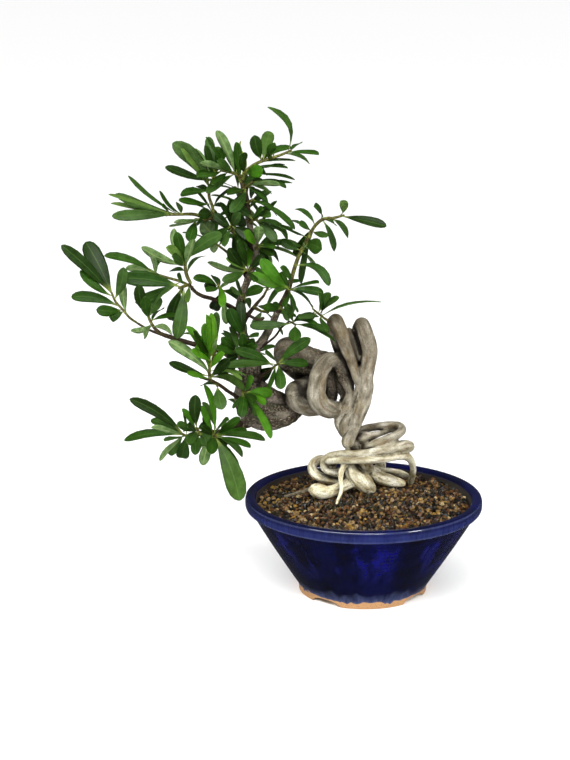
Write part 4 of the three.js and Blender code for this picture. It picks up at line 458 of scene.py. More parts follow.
         (0.85, -148, 96.6, -4, 0), (0.6, -131.4, 98.4, 9.4, 0), (0.5, -126, 108, 6, 0),
         (0.8, -130.4, 134.4, 2, 0, B)],
    ),
    "bottom_middle": Shoot(
        [(-118, 116.1, -28, 1.2), (-120, 119, -33, 1.1), (-120.6, 121, -35, 0.9)],
        [(0.9, -121, 145.4, 8.8, 1, D), (0.8, -129.4, 136, 4.6, 1, B), (0.7, -122, 100.8, 7, 0),
         (0.6, -114, 107, 12, 2), (0.9, -135, 123.6, 6, 0), (0.8, -112, 124, 5, 0),
         (0.6, -127, 110, 8, 0), (0.9, -112, 111, 7, 0, D), (0.9, -127, 122, 6, 0, D)],
    ),
    "bottom_right": Shoot(
        [(-109, 117.2, -25, 1.5), (-108, 115.4, -30, 1.1), (-106.6, 114.4, -33, 0.9)],
        [(0.5, -116.8, 137.6, 5, 0.5, B), (0.6, -115, 153, 4.8, -2.5, B),
         (0.4, -115.6, 130, 5, 0, D), (0.5, -116.4, 93, -8, -1), (0.6, -110, 102.4, 8, 0),
         (1, -71.4, 111.6, 5.8, 2.5), (1, -82, 106.6, 4.4, 1), (0.95, -87.6, 99.4, 5, 2.5),
         (0.8, -90, 66, 14.5, 2.5, M), (0.8, -91, 87.6, 7, 1), (0.6, -89, 128.4, 6, 0),
         (0.5, -84.6, 120.6, 5, -1), (0.7, -97, 127, 2.4, 1), (0.9, -117, 122, 6, 0, D),
         (0.7, -99, 108, 6, 0, D)],
    ),
}
BACK_STEMS = {
    "back_top": [(-85, 290, 8, 1.4), (-88, 292, 18, 1), (-92, 295, 26, 0.9)],
    "back_upper": [(-83, 276, 8, 1.4), (-84, 279, 20, 1), (-87, 283, 30, 0.9)],
    "back_upper_left": [(-104, 270.6, 14, 1.4), (-106, 274, 24, 1), (-108, 278, 33, 0.9)],
    "back_right_upper": [(-80, 262, 7, 1.4), (-77, 264, 18, 1), (-74, 266, 28, 0.9)],
    "back_right": [(-72, 218, 46, 1), (-70, 222, 52, 0.9), (-67, 227, 57, 0.8)],
    "back_right_low": [(-79, 209.6, 33, 1.5), (-74, 207, 38, 1), (-69, 206, 44, 0.9)],
    "back_middle": [(-100, 251, 42, 0.9), (-104, 254, 48, 0.9), (-108, 257, 53, 0.8)],
    "back_middle_right": [(-91, 242, 27, 1.4), (-88, 247, 33, 1), (-86, 253, 39, 0.9)],
    "back_left": [(-101, 176, 48, 1.1), (-105, 180, 54, 0.9), (-108, 184, 59, 0.8)],
    "back_left_low": [(-91, 168, 32, 1.4), (-88, 173, 40, 1), (-86, 179, 46, 0.9)],
    "back_bottom": [(-99, 120, 44, 1), (-104, 119, 50, 0.9), (-109, 119, 55, 0.8)],
    "back_bottom_right": [(-86, 122, 31, 1.4), (-84, 126, 40, 1), (-82, 131, 46, 0.9)],
}


def place(across: float, up: float, behind: float) -> Vector:
    """Pushes a drawn point back along the line of sight.

    Args:
        across: Distance to the right of the pot's axis, as drawn, in mm.
        up: Height over the table, as drawn, in mm.
        behind: Distance behind the pot's axis, in mm.

    Returns:
        The point in space, in mm about the pot's axis.
    """
    drawn = Vector((across, 0, up))
    return drawn + (drawn - EYE) * (-behind / EYE.y)


def clamped(value: float) -> float:
    """Keeps a number between 0 and 1."""
    return max(0.0, min(1.0, value))


def linear(hex_colour: str) -> tuple[float, float, float, float]:
    """Turns an sRGB hex colour into linear light.

    Args:
        hex_colour: The colour as "#rrggbb".

    Returns:
        Linear red, green and blue, and an alpha of one.
    """
    channels = [int(hex_colour[i : i + 2], 16) / 255 for i in (1, 3, 5)]
    light = [c / 12.92 if c <= 0.04045 else ((c + 0.055) / 1.055) ** 2.4 for c in channels]
    return (*light, 1.0)


# For each kind of Mix node, its inputs for the share and the two values, and its output.
MIXES = {"RGBA": ((0, 6, 7), 2), "FLOAT": ((0, 2, 3), 0)}


class Recipe:
    """A node material being put together round one Principled shader."""

    def __init__(self, name: str) -> None:
        """Starts the material.

        Args:
            name: Its name.
        """
        self.made = bpy.data.materials.new(name)
        self.made.use_nodes = True
        self.tree = self.made.node_tree
        self.shader = self.tree.nodes["Principled BSDF"]

    def give(self, socket: bpy.types.NodeSocket, value: object) -> None:
        """Links an input to a socket, or sets it to a number, numbers or a hex colour.

        Args:
            socket: The input.
            value: The socket to link, or the value to set.
        """
        if isinstance(value, bpy.types.NodeSocket):
            self.tree.links.new(value, socket)
        else:
            socket.default_value = linear(value) if isinstance(value, str) else value

    def add(
        self, kind: str, *values: object, out: int | str = 0, stops: tuple = (), **named: object
    ) -> bpy.types.NodeSocket:
        """Adds a node with its settings and links.

        Args:
            kind: The node's type after "ShaderNode".
            values: What its first inputs are given; for a mix, its share and the two values.
            out: The output to hand back, by number or name.
            stops: A colour ramp's (place, colour) pairs.
            named: Further inputs by name, and the node's own properties.

        Returns:
            The node's output.
        """
        node = self.tree.nodes.new("ShaderNode" + kind)
        places = range(len(values))
        if kind == "Mix":
            places, out = MIXES[named.setdefault("data_type", "RGBA")]
        inputs = {name: value for name, value in named.items() if name in node.inputs}
        for name, value in named.items():
            if name not in inputs:
                setattr(node, name, value)
        for place_in, value in [*zip(places, values), *inputs.items()]:
            self.give(node.inputs[place_in], value)
        for index, (where, colour) in enumerate(stops):
            ramp = node.color_ramp.elements
            stop = ramp[index] if index < 2 else ramp.new(where)
            stop.position = where
            stop.color = linear(colour)
        return node.outputs[out]

    def finish(self, **settings: object) -> bpy.types.Material:
        """Sets the shader's inputs.

        Args:
            settings: A socket to link or a value for each input, with _ for a space in its name.

        Returns:
            The material.
        """
        for name, value in settings.items():
            self.give(self.shader.inputs[name.replace("_", " ")], value)
        return self.made


# In a finish, a span is (from, to, the value up to the first, the value past the second), and
# a ramp is a row of (place, colour).
Span = tuple[float, float, float, float]
Ramp = tuple[tuple[float, str], ...]


@dataclass(frozen=True)
class CobaltGlaze:
    """Cobalt glaze over wheel-thrown stoneware, with bare clay on the foot.

    A thick glossy glaze: near black-blue where it is thick, violet blue where it runs,
    paler and milky where it breaks over an edge or stops above the foot; on the lip's edges
    the paler glaze also stands in for part of their highlight (painted highlight). Spans are
    by height in mm.
    """

    name: str = "cobalt_glazed_stoneware"
    depth: Ramp = ((0.35, "#010213"), (0.68, "#030630"))
    run: str = "#191a86"
    lip: str = "#252c5a"
    # Pale glaze where it breaks over an edge or thins above the foot; on the lip's edges, partly
    # painted highlight.
    pale_break_and_highlight: str = "#5f6990"
    clay: Ramp = ((0.3, "#8a6540"), (0.6, "#bb8f60"))
    inside: str = "#2a241c"
    runs_below: Span = (20.0, 44.0, 0.0, 1.0)
    runs_above: Span = (52.0, 61.0, 1.0, 0.3)
    run_strength: Span = (0.48, 0.72, 0.0, 0.62)
    lip_below: Span = (60.5, 63.5, 0.0, 1.3)
    lip_above: Span = (66.5, 69.5, 1.0, 0.12)
    line_swing: Span = (0.3, 0.7, -2.6, 2.6)
    milky: Span = (5.0, 13.0, 1.0, 0.0)
    bare: Span = (4.5, 5.1, 1.0, 0.0)
    gloss: Span = (0.0, 1.0, 0.09, 0.85)

    def material(self) -> bpy.types.Material:
        """Builds the glaze's node material, whose patterns run down the unrolled wall.

        Returns:
            The material.
        """
        recipe = Recipe(self.name)
        add = recipe.add
        wall = add("Attribute", attribute_name="wall", out="Vector")
        height = add("SeparateXYZ", wall, out="Z")
        down = add("Mapping", wall, Scale=(1, 1, 0.16))
        soft = add("Mapping", wall, Scale=(1, 1, 0.5))
        runs = add("TexNoise", soft, Scale=0.05, Detail=4.0, Roughness=0.7)
        fine = add("TexNoise", down, Scale=0.5, Detail=4.0, Roughness=0.7)
        cloud = add("TexNoise", wall, Scale=0.045, Detail=3.0)
        colour = add("ValToRGB", cloud, stops=self.depth)
        below = add("MapRange", height, *self.runs_below)
        above = add("MapRange", height, *self.runs_above)
        band = add("Math", below, above, operation="MULTIPLY")
        drip = add("MapRange", runs, *self.run_strength)
        drips = add("Math", drip, band, operation="MULTIPLY")
        colour = add("Mix", drips, colour, self.run)
        # The lip is paler where the glaze breaks over its edges; the pale edges also stand in for
        # part of their highlight (painted highlight).
        below = add("MapRange", height, *self.lip_below)
        above = add("MapRange", height, *self.lip_above)
        lip = add("Math", below, above, operation="MULTIPLY")
        lip_mottle = add("Math", lip, fine, operation="MULTIPLY")
        colour = add("Mix", lip_mottle, colour, self.lip)
        edge = add("Attribute", attribute_name="edge", out="Fac")
        edge_break_and_highlight = add("Math", edge, fine, operation="MULTIPLY")
        colour = add("Mix", edge_break_and_highlight, colour, self.pale_break_and_highlight)
        # Above the wandering line where the glaze stops, a milky band; under it, bare clay.
        wave = add("TexNoise", wall, Scale=0.09, Detail=1.0)
        swing = add("MapRange", wave, *self.line_swing)
        level = add("Math", height, swing, operation="ADD")
        milky = add("MapRange", level, *self.milky)
        milky_mottle = add("Math", milky, fine, operation="MULTIPLY")
        colour = add("Mix", milky_mottle, colour, self.pale_break_and_highlight)
        grit = add("TexNoise", wall, Scale=1.6, Detail=4.0)
        clay = add("ValToRGB", grit, stops=self.clay)
        bare = add("MapRange", level, *self.bare)
        colour = add("Mix", bare, colour, clay)
        inner = add("Attribute", attribute_name="inner", out="Fac")
        colour = add("Mix", inner, colour, self.inside)
        dull = add("Math", bare, inner, operation="MAXIMUM")
        return recipe.finish(
            Base_Color=colour,
            Roughness=add("MapRange", dull, *self.gloss),
            IOR=1.5,
            Specular_IOR_Level=0.5,
            Normal=add("Bump", Height=fine, Strength=0.04, Distance=0.0004),
        )


@dataclass(frozen=True)
class Bark:
    """Firethorn bark: smooth, weathered on the bared roots and cracked on the old trunk.

    Cream and taupe with tan stains along the grain, dark grime where strands touch, painted
    shade where the wood closes a place in, and dark cracked bark with grey and mossy blotches
    where the rough attribute says so; on the strands behind the loops that dark bark is
    painted shade.
    """

    name: str = "weathered_firethorn_bark"
    pale: Ramp = ((0.3, "#8a7b56"), (0.42, "#c0b58f"), (0.55, "#e9e3c6"), (0.7, "#fbf8e8"))
    grey: Ramp = ((0.3, "#3b362b"), (0.42, "#645f51"), (0.56, "#8c8676"), (0.7, "#b0ab9c"))
    old: Ramp = ((0.4, "#0f0b08"), (0.48, "#2a2219"), (0.56, "#5f5445"), (0.64, "#a0977f"))
    stain: str = "#5e4524"
    tan: str = "#6f6142"
    speck: str = "#33281b"
    shaded: str = "#4a3f30"
    # Mixed in by the crevice attribute: grime at the joints and painted shade where the wood closes
    # a place in.
    dirt_and_shade: str = "#150f0a"
    moss: str = "#2c331a"
    lichen: str = "#94897d"
    greying: Span = (86.0, 118.0, 0.0, 1.0)
    darkening: Span = (150.0, 200.0, 0.0, 1.1)
    stains: Span = (0.52, 0.66, 0.0, 0.65)
    patches: Span = (0.52, 0.64, 0.0, 0.55)
    specks: Span = (0.56, 0.66, 0.0, 0.8)
    mossy: Span = (0.5, 0.64, 0.0, 0.6)
    crusts: Span = (0.5, 0.58, 0.0, 0.8)

    def material(self) -> bpy.types.Material:
        """Builds the bark's node material, whose grain follows each strand.

        Returns:
            The material.
        """
        recipe = Recipe(self.name)
        add = recipe.add
        flow = add("Attribute", attribute_name="flow", out="Vector")
        rough = add("Attribute", attribute_name="rough", out="Fac")
        crevice_dirt_and_shade = add("Attribute", attribute_name="crevice_dirt_and_shade", out="Fac")
        height = add("Attribute", attribute_name="height", out="Fac")
        along = add("Mapping", flow, Scale=(1, 1, 0.14))
        grain = add("Mapping", flow, Scale=(1, 1, 0.45))
        streak = add("TexNoise", along, Scale=0.55, Detail=4.0, Roughness=0.6)
        mottle = add("TexNoise", grain, Scale=0.2, Detail=4.0, Roughness=0.6)
        patch = add("TexNoise", grain, Scale=0.085, Detail=4.0, Roughness=0.65)
        speck = add("TexNoise", flow, Scale=1.3, Detail=3.0, Roughness=0.7)
        fine = add("TexNoise", flow, Scale=0.55, Detail=4.0, Roughness=0.6)
        low = add("ValToRGB", mottle, stops=self.pale)
        high = add("ValToRGB", mottle, stops=self.grey)
        upper = add("MapRange", height, *self.greying)
        smooth = add("Mix", upper, low, high)
        top = add("MapRange", height, *self.darkening)
        tops = add("Math", top, fine, operation="MULTIPLY")
        smooth = add("Mix", tops, smooth, self.shaded)
        for pattern, span, tint in (
            (streak, self.stains, self.stain),
            (patch, self.patches, self.tan),
            (speck, self.specks, self.speck),
        ):
            share = add("MapRange", pattern, *span)
            smooth = add("Mix", share, smooth, tint)
        plates = add("Mix", 0.5, fine, speck, data_type="FLOAT")
        old = add("ValToRGB", plates, stops=self.old)
        green = add("MapRange", mottle, *self.mossy)
        old = add("Mix", green, old, self.moss)
        spots = add("MapRange", patch, *self.crusts)
        aged = add("Math", spots, upper, operation="MULTIPLY")
        flecks = add("Math", aged, fine, operation="MULTIPLY")
        old = add("Mix", flecks, old, self.lichen)
        colour = add("Mix", rough, smooth, old)
        relief = add("Bump", Height=streak, Strength=0.35, Distance=0.0006)
        # Darker in the crevices: grime at the joints, and painted shade where the wood closes a
        # place in.
        return recipe.finish(
            Base_Color=add("Mix", crevice_dirt_and_shade, colour, self.dirt_and_shade),
            Roughness=0.72,
            Specular_IOR_Level=0.2,
            Normal=add("Bump", Height=speck, Strength=0.3, Distance=0.0004, Normal=relief),
        )


@dataclass(frozen=True)
class TwigBark:
    """Young firethorn bark: thin and slightly glossy, brown on twigs, green on new shoots."""

    name: str = "young_firethorn_bark"
    ages: Ramp = ((0.0, "#1f1610"), (0.2, "#33261b"), (0.6, "#4c4a20"), (1.0, "#8c9642"))
    jitter: Span = (0.3, 0.7, -0.18, 0.18)

    def material(self) -> bpy.types.Material:
        """Builds the young bark's node material, greener where the youth attribute says so.

        Returns:
            The material.
        """
        recipe = Recipe(self.name)
        add = recipe.add
        youth = add("Attribute", attribute_name="youth", out="Fac")
        mottle = add("TexNoise", add("TexCoord", out="Object"), Scale=420.0, Detail=4.0)
        jitter = add("MapRange", mottle, *self.jitter)
        age = add("Math", youth, jitter, operation="ADD")
        return recipe.finish(
            Base_Color=add("ValToRGB", age, stops=self.ages),
            Roughness=0.6,
            Specular_IOR_Level=0.2,
            Normal=add("Bump", Height=mottle, Strength=0.3, Distance=0.0003),
        )


@dataclass(frozen=True)
class LeafTop:
    """The waxy upper face of a firethorn leaf: glossy dark green with a pale midrib."""

    name: str = "waxy_leaf_upper_face"
    # At 0.3, the grey tone is a greyed green standing in for the grey sheen of some leaves: painted
    # sheen.
    tones: Ramp = (
        (0.0, "#1a3007"), (0.2, "#274a0b"), (0.3, "#3d5826"), (0.42, "#20420a"),
        (0.56, "#5c7a34"), (0.64, "#386a0e"), (0.76, "#487c12"), (1.0, "#98a238"),
    )
    drift: Ramp = ((0.3, "#c9c9c9"), (0.66, "#ffffff"))
    rib: str = "#5f7e3c"
    stalk: str = "#93a04a"
    vein: Span = (0.72, 1.0, 0.0, 0.06)
    midrib: Span = (0.01, 0.045, 0.26, 0.0)
    pale_base: Span = (0.04, 0.2, 0.7, 0.0)
    gloss: Span = (0.3, 0.7, 0.32, 0.5)
    vein_slant: float = -0.9
    vein_rate: float = 62.0

    def material(self) -> bpy.types.Material:
        """Builds the upper face's node material, drawn along and across each blade.

        Returns:
            The material.
        """
        recipe = Recipe(self.name)
        add = recipe.add
        blade = add("UVMap", uv_map="blade")
        across = add("SeparateXYZ", blade, out="X")
        along = add("SeparateXYZ", blade, out="Y")
        tone = add("Attribute", attribute_name="tone", out="Fac")
        cloud = add("TexNoise", add("TexCoord", out="Object"), Scale=210.0, Detail=3.0)
        plain = add("ValToRGB", tone, stops=self.tones)
        drift = add("ValToRGB", cloud, stops=self.drift)
        colour = add("Mix", 1.0, plain, drift, blend_type="MULTIPLY")
        aside = add("Math", across, 0.5, operation="SUBTRACT")
        off = add("Math", aside, operation="ABSOLUTE")
        slant = add("Math", off, self.vein_slant, along, operation="MULTIPLY_ADD")
        turns = add("Math", slant, self.vein_rate, operation="MULTIPLY")
        veins = add("Math", turns, operation="SINE")
        vein = add("MapRange", veins, *self.vein)
        rib = add("MapRange", off, *self.midrib)
        lines = add("Math", vein, rib, operation="MAXIMUM")
        colour = add("Mix", lines, colour, self.rib)
        # The short stalk and the base of the blade are pale.
        pale = add("MapRange", along, *self.pale_base)
        return recipe.finish(
            Base_Color=add("Mix", pale, colour, self.stalk),
            Roughness=add("MapRange", cloud, *self.gloss),
            Specular_IOR_Level=0.17,
            Normal=add("Bump", Height=veins, Strength=0.12, Distance=0.0003),
        )


@dataclass(frozen=True)
class LeafUnder:
    """The matt underside of a firethorn leaf: pale grey green with a paler midrib."""

    name: str = "matt_leaf_underside"
    greens: Ramp = ((0.3, "#415c2c"), (0.65, "#6a8350"))
    rib: str = "#7f945a"
    midrib: Span = (0.03, 0.08, 0.75, 0.0)

    def material(self) -> bpy.types.Material:
        """Builds the underside's node material, drawn across each blade.

        Returns:
            The material.
        """
        recipe = Recipe(self.name)
        add = recipe.add
        across = add("SeparateXYZ", add("UVMap", uv_map="blade"), out="X")
        cloud = add("TexNoise", add("TexCoord", out="Object"), Scale=260.0, Detail=3.0)
        base = add("ValToRGB", cloud, stops=self.greens)
        aside = add("Math", across, 0.5, operation="SUBTRACT")
        off = add("Math", aside, operation="ABSOLUTE")
        rib = add("MapRange", off, *self.midrib)
        colour = add("Mix", rib, base, self.rib)
        return recipe.finish(Base_Color=colour, Roughness=0.62, Specular_IOR_Level=0.1)


@dataclass(frozen=True)
class Grit:
    """Crushed baked clay, lava and bark: angular grains of many browns, a little damp."""

    name: str = "baked_clay_and_lava_grit"
    grains: Ramp = (
        (0.0, "#130f0b"), (0.16, "#241a10"), (0.3, "#4a3019"), (0.44, "#6b4722"),
        (0.57, "#83683a"), (0.69, "#3d3822"), (0.78, "#a3875a"), (0.86, "#2a2a26"),
        (0.93, "#b08c3c"), (0.97, "#cfbb90"),
    )
    dust: Ramp = ((0.3, "#877f72"), (0.65, "#dcd6c8"))

    def material(self) -> bpy.types.Material:
        """Builds the grit's node material, one colour to a grain.

        Returns:
            The material.
        """
        recipe = Recipe(self.name)
        add = recipe.add
        tone = add("Attribute", attribute_name="tone", out="Fac")
        base = add("ValToRGB", tone, stops=self.grains)
        base.node.color_ramp.interpolation = "CONSTANT"
        dust = add("TexNoise", add("TexCoord", out="Object"), Scale=900.0, Detail=3.0)
        shade = add("ValToRGB", dust, stops=self.dust)
        return recipe.finish(
            Base_Color=add("Mix", 1.0, base, shade, blend_type="MULTIPLY"),
            Roughness=0.42,
            Specular_IOR_Level=0.5,
            Normal=add("Bump", Height=dust, Strength=0.5, Distance=0.0004),
        )


@dataclass(frozen=True)
class MeshPlastic:
    """Moulded polyethylene drain mesh: dull dark grey with a fine moulded texture."""

    name: str = "moulded_polyethylene"
    greys: Ramp = ((0.4, "#262a2b"), (0.7, "#3b3c38"))

    def material(self) -> bpy.types.Material:
        """Builds the plastic's node material.

        Returns:
            The material.
        """
        recipe = Recipe(self.name)
        add = recipe.add
        dust = add("TexNoise", add("TexCoord", out="Object"), Scale=300.0, Detail=4.0)
        return recipe.finish(
            Base_Color=add("ValToRGB", dust, stops=self.greys),
            Roughness=0.55,
            Normal=add("Bump", Height=dust, Strength=0.2, Distance=0.0002),
        )


@dataclass(frozen=True)
class BonsaiWire:
    """Anodised aluminium training wire: brown, satin, with faint drawing lines."""

    name: str = "anodised_aluminium_wire"
    browns: Ramp = ((0.4, "#7a5c46"), (0.7, "#a58a72"))
    satin: Span = (0.3, 0.7, 0.35, 0.5)

    def material(self) -> bpy.types.Material:
        """Builds the wire's node material.

        Returns:
            The material.
        """
        recipe = Recipe(self.name)
        add = recipe.add
        stretched = add("Mapping", add("TexCoord", out="Object"), Scale=(0.2, 1, 1))
        lines = add("TexNoise", stretched, Scale=2500.0, Detail=2.0)
        return recipe.finish(
            Base_Color=add("ValToRGB", lines, stops=self.browns),
            Metallic=1.0,
            Roughness=add("MapRange", lines, *self.satin),
        )


@dataclass(frozen=True)
class WhitePaper:
    """Matt white paper, which shines by itself where it is a backdrop."""

    name: str = "white_paper"
    glow: float = 0.0

    def material(self) -> bpy.types.Material:
        """Builds the paper's material.

        Returns:
            The material.
        """
        return Recipe(self.name).finish(
            Base_Color=(0.97, 0.97, 0.97, 1),
            Roughness=0.9,
            Specular_IOR_Level=0.1,
            Emission_Color=(1, 1, 1, 1),
            Emission_Strength=self.glow,
        )


def gap_at(share: float, count: int) -> tuple[int, float]:
    """Finds a share of the way along evenly spaced marks.

    Args:
        share: From 0 at the first mark to 1 at the last.
        count: How many marks there are.

    Returns:
        The number of the mark before it, and how far it is towards the next.
    """
    last = count - 1
    index = max(0, min(int(share * last), last - 1))
    return index, share * last - index


def spread(values: tuple[float, ...], share: float) -> float:
    """Gives the value at a share of the way along evenly spaced values.

    Args:
        values: The values.
        share: From 0 at the first to 1 at the last.

    Returns:
        The value there.
    """
    index, weight = gap_at(share, len(values))
    following = values[min(index + 1, len(values) - 1)]
    return values[index] + (following - values[index]) * weight


@dataclass
class Path:
    """A smooth centripetal curve through points, evenly shared between them."""

    points: list[Vector]
    marks: int = 200
    step: float = 1e-4
    least_span: float = 1e-3

    def at(self, share: float) -> Vector:
        """Finds the point at a share of the way.

        Args:
            share: From 0 at the first point to 1 at the last.

        Returns:
            The point on the curve.
        """
        index, weight = gap_at(share, len(self.points))
        one, two = self.points[index], self.points[index + 1]
        before = self.points[index - 1] if index > 0 else one * 2 - two
        after = self.points[index + 2] if index + 2 < len(self.points) else two * 2 - one
        pairs = ((before, one), (one, two), (two, after))
        near, mid, far = [max(self.least_span, math.sqrt((b - a).length)) for a, b in pairs]
        leave = (one - before) / near - (two - before) / (near + mid) + (two - one) / mid
        arrive = (two - one) / mid - (after - one) / (mid + far) + (after - two) / far
        leave, arrive = leave * mid, arrive * mid
        square = (two - one) * 3 - leave * 2 - arrive
        cube = (one - two) * 2 + leave + arrive
        return one + leave * weight + square * weight**2 + cube * weight**3

    def tangent(self, share: float) -> Vector:
        """Gives the unit direction at a share of the way."""
        low, high = max(0.0, share - self.step), min(1.0, share + self.step)
        return (self.at(high) - self.at(low)).normalized()

    def length(self) -> float:
        """Gives the curve's length."""
        marks = [self.at(step / self.marks) for step in range(self.marks + 1)]
        return sum((b - a).length for a, b in zip(marks, marks[1:]))


@dataclass
class Ring:
    """One cross-section of a strand: where it is, how thick, and its place in the bark."""

    centre: Vector
    radius: float
    side: Vector
    forward: Vector
    along: float
    rough: float
    youth: float

    def capped(self, angle: float) -> tuple[Vector, float]:
        """Gives the place and radius of the strand's rounded end at an angle towards its pole."""
        out = self.forward * self.radius * math.sin(angle)
        return self.centre + out, self.radius * math.cos(angle)


@dataclass
class Strand:
    """A root, trunk or branch run, with its bark's roughness and youth along the way."""

    rows: list[Row]
    rough: tuple[float, ...] = (0.0,)
    youth: tuple[float, ...] = (0.0,)
    spacing: float = 1.5
    fewest: int = 4

    def rings(self) -> list[Ring]:
        """Cuts the strand into evenly spaced cross-sections with a side that doesn't twist.

        Returns:
            The cross-sections in order.
        """
        path = Path([place(*row[:3]) for row in self.rows])
        count = max(self.fewest, round(path.length() / self.spacing))
        made: list[Ring] = []
        side = Vector((0, -1, 0))
        along = 0.0
        for step in range(count + 1):
            share = step / count
            index, weight = gap_at(share, len(self.rows))
            smooth = weight * weight * (3 - 2 * weight)
            radius = self.rows[index][3] * (1 - smooth) + self.rows[index + 1][3] * smooth
            centre = path.at(share)
            forward = path.tangent(share)
            side = (side - forward * side.dot(forward)).normalized()
            if made:
                along += (centre - made[-1].centre).length
            bark = spread(self.rough, share), spread(self.youth, share)
            made.append(Ring(centre, radius, side.copy(), forward, along, *bark))
        return made


def linked(name: str, data: bpy.types.ID) -> bpy.types.Object:
    """Makes an object of some data and puts it in the scene.

    Args:
        name: The object's name.
        data: Its mesh, curve, light or camera.

    Returns:
        The object.
    """
    holder = bpy.data.objects.new(name, data)
    bpy.context.scene.collection.objects.link(holder)
    return holder


def evaluated(holder: bpy.types.Object) -> bpy.types.Mesh:
    """Gives the mesh that an object comes to, and removes the object.

    Args:
        holder: The object.

    Returns:
        The mesh.
    """
    bpy.context.view_layer.update()
    graph = bpy.context.evaluated_depsgraph_get()
    mesh = bpy.data.meshes.new_from_object(holder.evaluated_get(graph))
    bpy.data.objects.remove(holder)
    return mesh


def as_mesh(bm: bmesh.types.BMesh, name: str) -> bpy.types.Mesh:
    """Turns a shape, which is freed, into a mesh.

    Args:
        bm: The shape.
        name: The mesh's name.

    Returns:
        The mesh.
    """
    mesh = bpy.data.meshes.new(name)
    bm.to_mesh(mesh)
    bm.free()
    return mesh


def take_in(bm: bmesh.types.BMesh, mesh: bpy.types.Mesh) -> None:
    """Adds a mesh, which is removed, to a shape."""
    bm.from_mesh(mesh)
    bpy.data.meshes.remove(mesh)


def shade_smooth(bm: bmesh.types.BMesh) -> None:
    """Shades every face of a shape smoothly."""
    for face in bm.faces:
        face.smooth = True


def nearest_of(points: list[Vector]) -> KDTree:
    """Sorts points for finding the nearest ones.

    Args:
        points: The points.

    Returns:
        The sorted points, numbered in their order.
    """
    tree = KDTree(len(points))
    for index, point in enumerate(points):
        tree.insert(point, index)
    tree.balance()
    return tree


def tubes(runs: list[list[Ring]], sides: int) -> bpy.types.Mesh:
    """Makes one mesh of round tubes with rounded ends.

    Args:
        runs: The cross-sections of each tube in order.
        sides: How many sides a tube has.

    Returns:
        A mesh of closed tubes, in mm.
    """
    curve = bpy.data.curves.new("tubes", "CURVE")
    curve.dimensions = "3D"
    curve.bevel_depth = 1.0
    curve.bevel_resolution = (sides - 4) // 2
    curve.use_fill_caps = True
    for rings in runs:
        rows = [(ring.centre, ring.radius) for ring in rings]
        for angle in CAP_ANGLES:
            rows.insert(0, rings[0].capped(-angle))
            rows.append(rings[-1].capped(angle))
        spline = curve.splines.new("POLY")
        spline.points.add(len(rows) - 1)
        for point, (centre, radius) in zip(spline.points, rows):
            point.co = (*centre, 1)
            point.radius = radius
    mesh = evaluated(linked("tubes", curve))
    bpy.data.curves.remove(curve)
    return mesh


def remeshed(mesh: bpy.types.Mesh, voxel: float) -> bpy.types.Mesh:
    """Fuses overlapping closed shapes into one skin.

    Args:
        mesh: The shapes, in mm. It is used up.
        voxel: The new skin's face size, in mm.

    Returns:
        The fused mesh.
    """
    holder = linked("fused", mesh)
    fuse = holder.modifiers.new("fuse", "REMESH")
    fuse.mode = "VOXEL"
    fuse.voxel_size = voxel
    made = evaluated(holder)
    bpy.data.meshes.remove(mesh)
    return made


def turned(profile: list[tuple[float, float]], steps: int) -> bmesh.types.BMesh:
    """Turns a closed outline round the pot's axis.

    Args:
        profile: The outline as (radius, height), in mm.
        steps: How many faces go round.

    Returns:
        The closed turned shape, facing out.
    """
    bm = bmesh.new()
    ring = [bm.verts.new((radius, 0, height)) for radius, height in profile]
    geom = ring + [bm.edges.new(pair) for pair in zip(ring, ring[1:] + ring[:1])]
    bmesh.ops.spin(bm, geom=geom, axis=UP, angle=math.tau, steps=steps, use_merge=True)
    bmesh.ops.remove_doubles(bm, verts=bm.verts, dist=1e-3)
    bmesh.ops.recalc_face_normals(bm, faces=bm.faces)
    return bm


@dataclass
class Workbench:
    """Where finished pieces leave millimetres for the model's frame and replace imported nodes."""

    axis: Vector
    made: list[bpy.types.Object] = field(default_factory=list)

    def corners(self, node: str) -> KDTree:
        """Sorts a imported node's vertices, in mm about the pot's axis."""
        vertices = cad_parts[node].data.vertices
        return nearest_of([(vertex.co - self.axis) / MM for vertex in vertices])

    def publish(
        self,
        bm: bmesh.types.BMesh,
        name: str,
        skins: list[bpy.types.Material],
        nodes: list[str],
    ) -> None:
        """Args:
            bm: The piece in mm about the pot's axis. It is freed.
            name: The piece's name.
            skins: Its materials, in the order of its faces' numbers.
            nodes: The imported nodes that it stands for.
        """
        to_frame = Matrix.Translation(self.axis) @ Matrix.Scale(MM, 4)
        bmesh.ops.transform(bm, matrix=to_frame, verts=bm.verts)
        piece = linked(name, as_mesh(bm, name))
        for material in skins:
            piece.data.materials.append(material)
        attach(piece, BODY)
        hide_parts(*nodes)
        self.made.append(piece)
        LOG.info("%s: %d faces, for %s", name, len(piece.data.polygons), ", ".join(nodes))


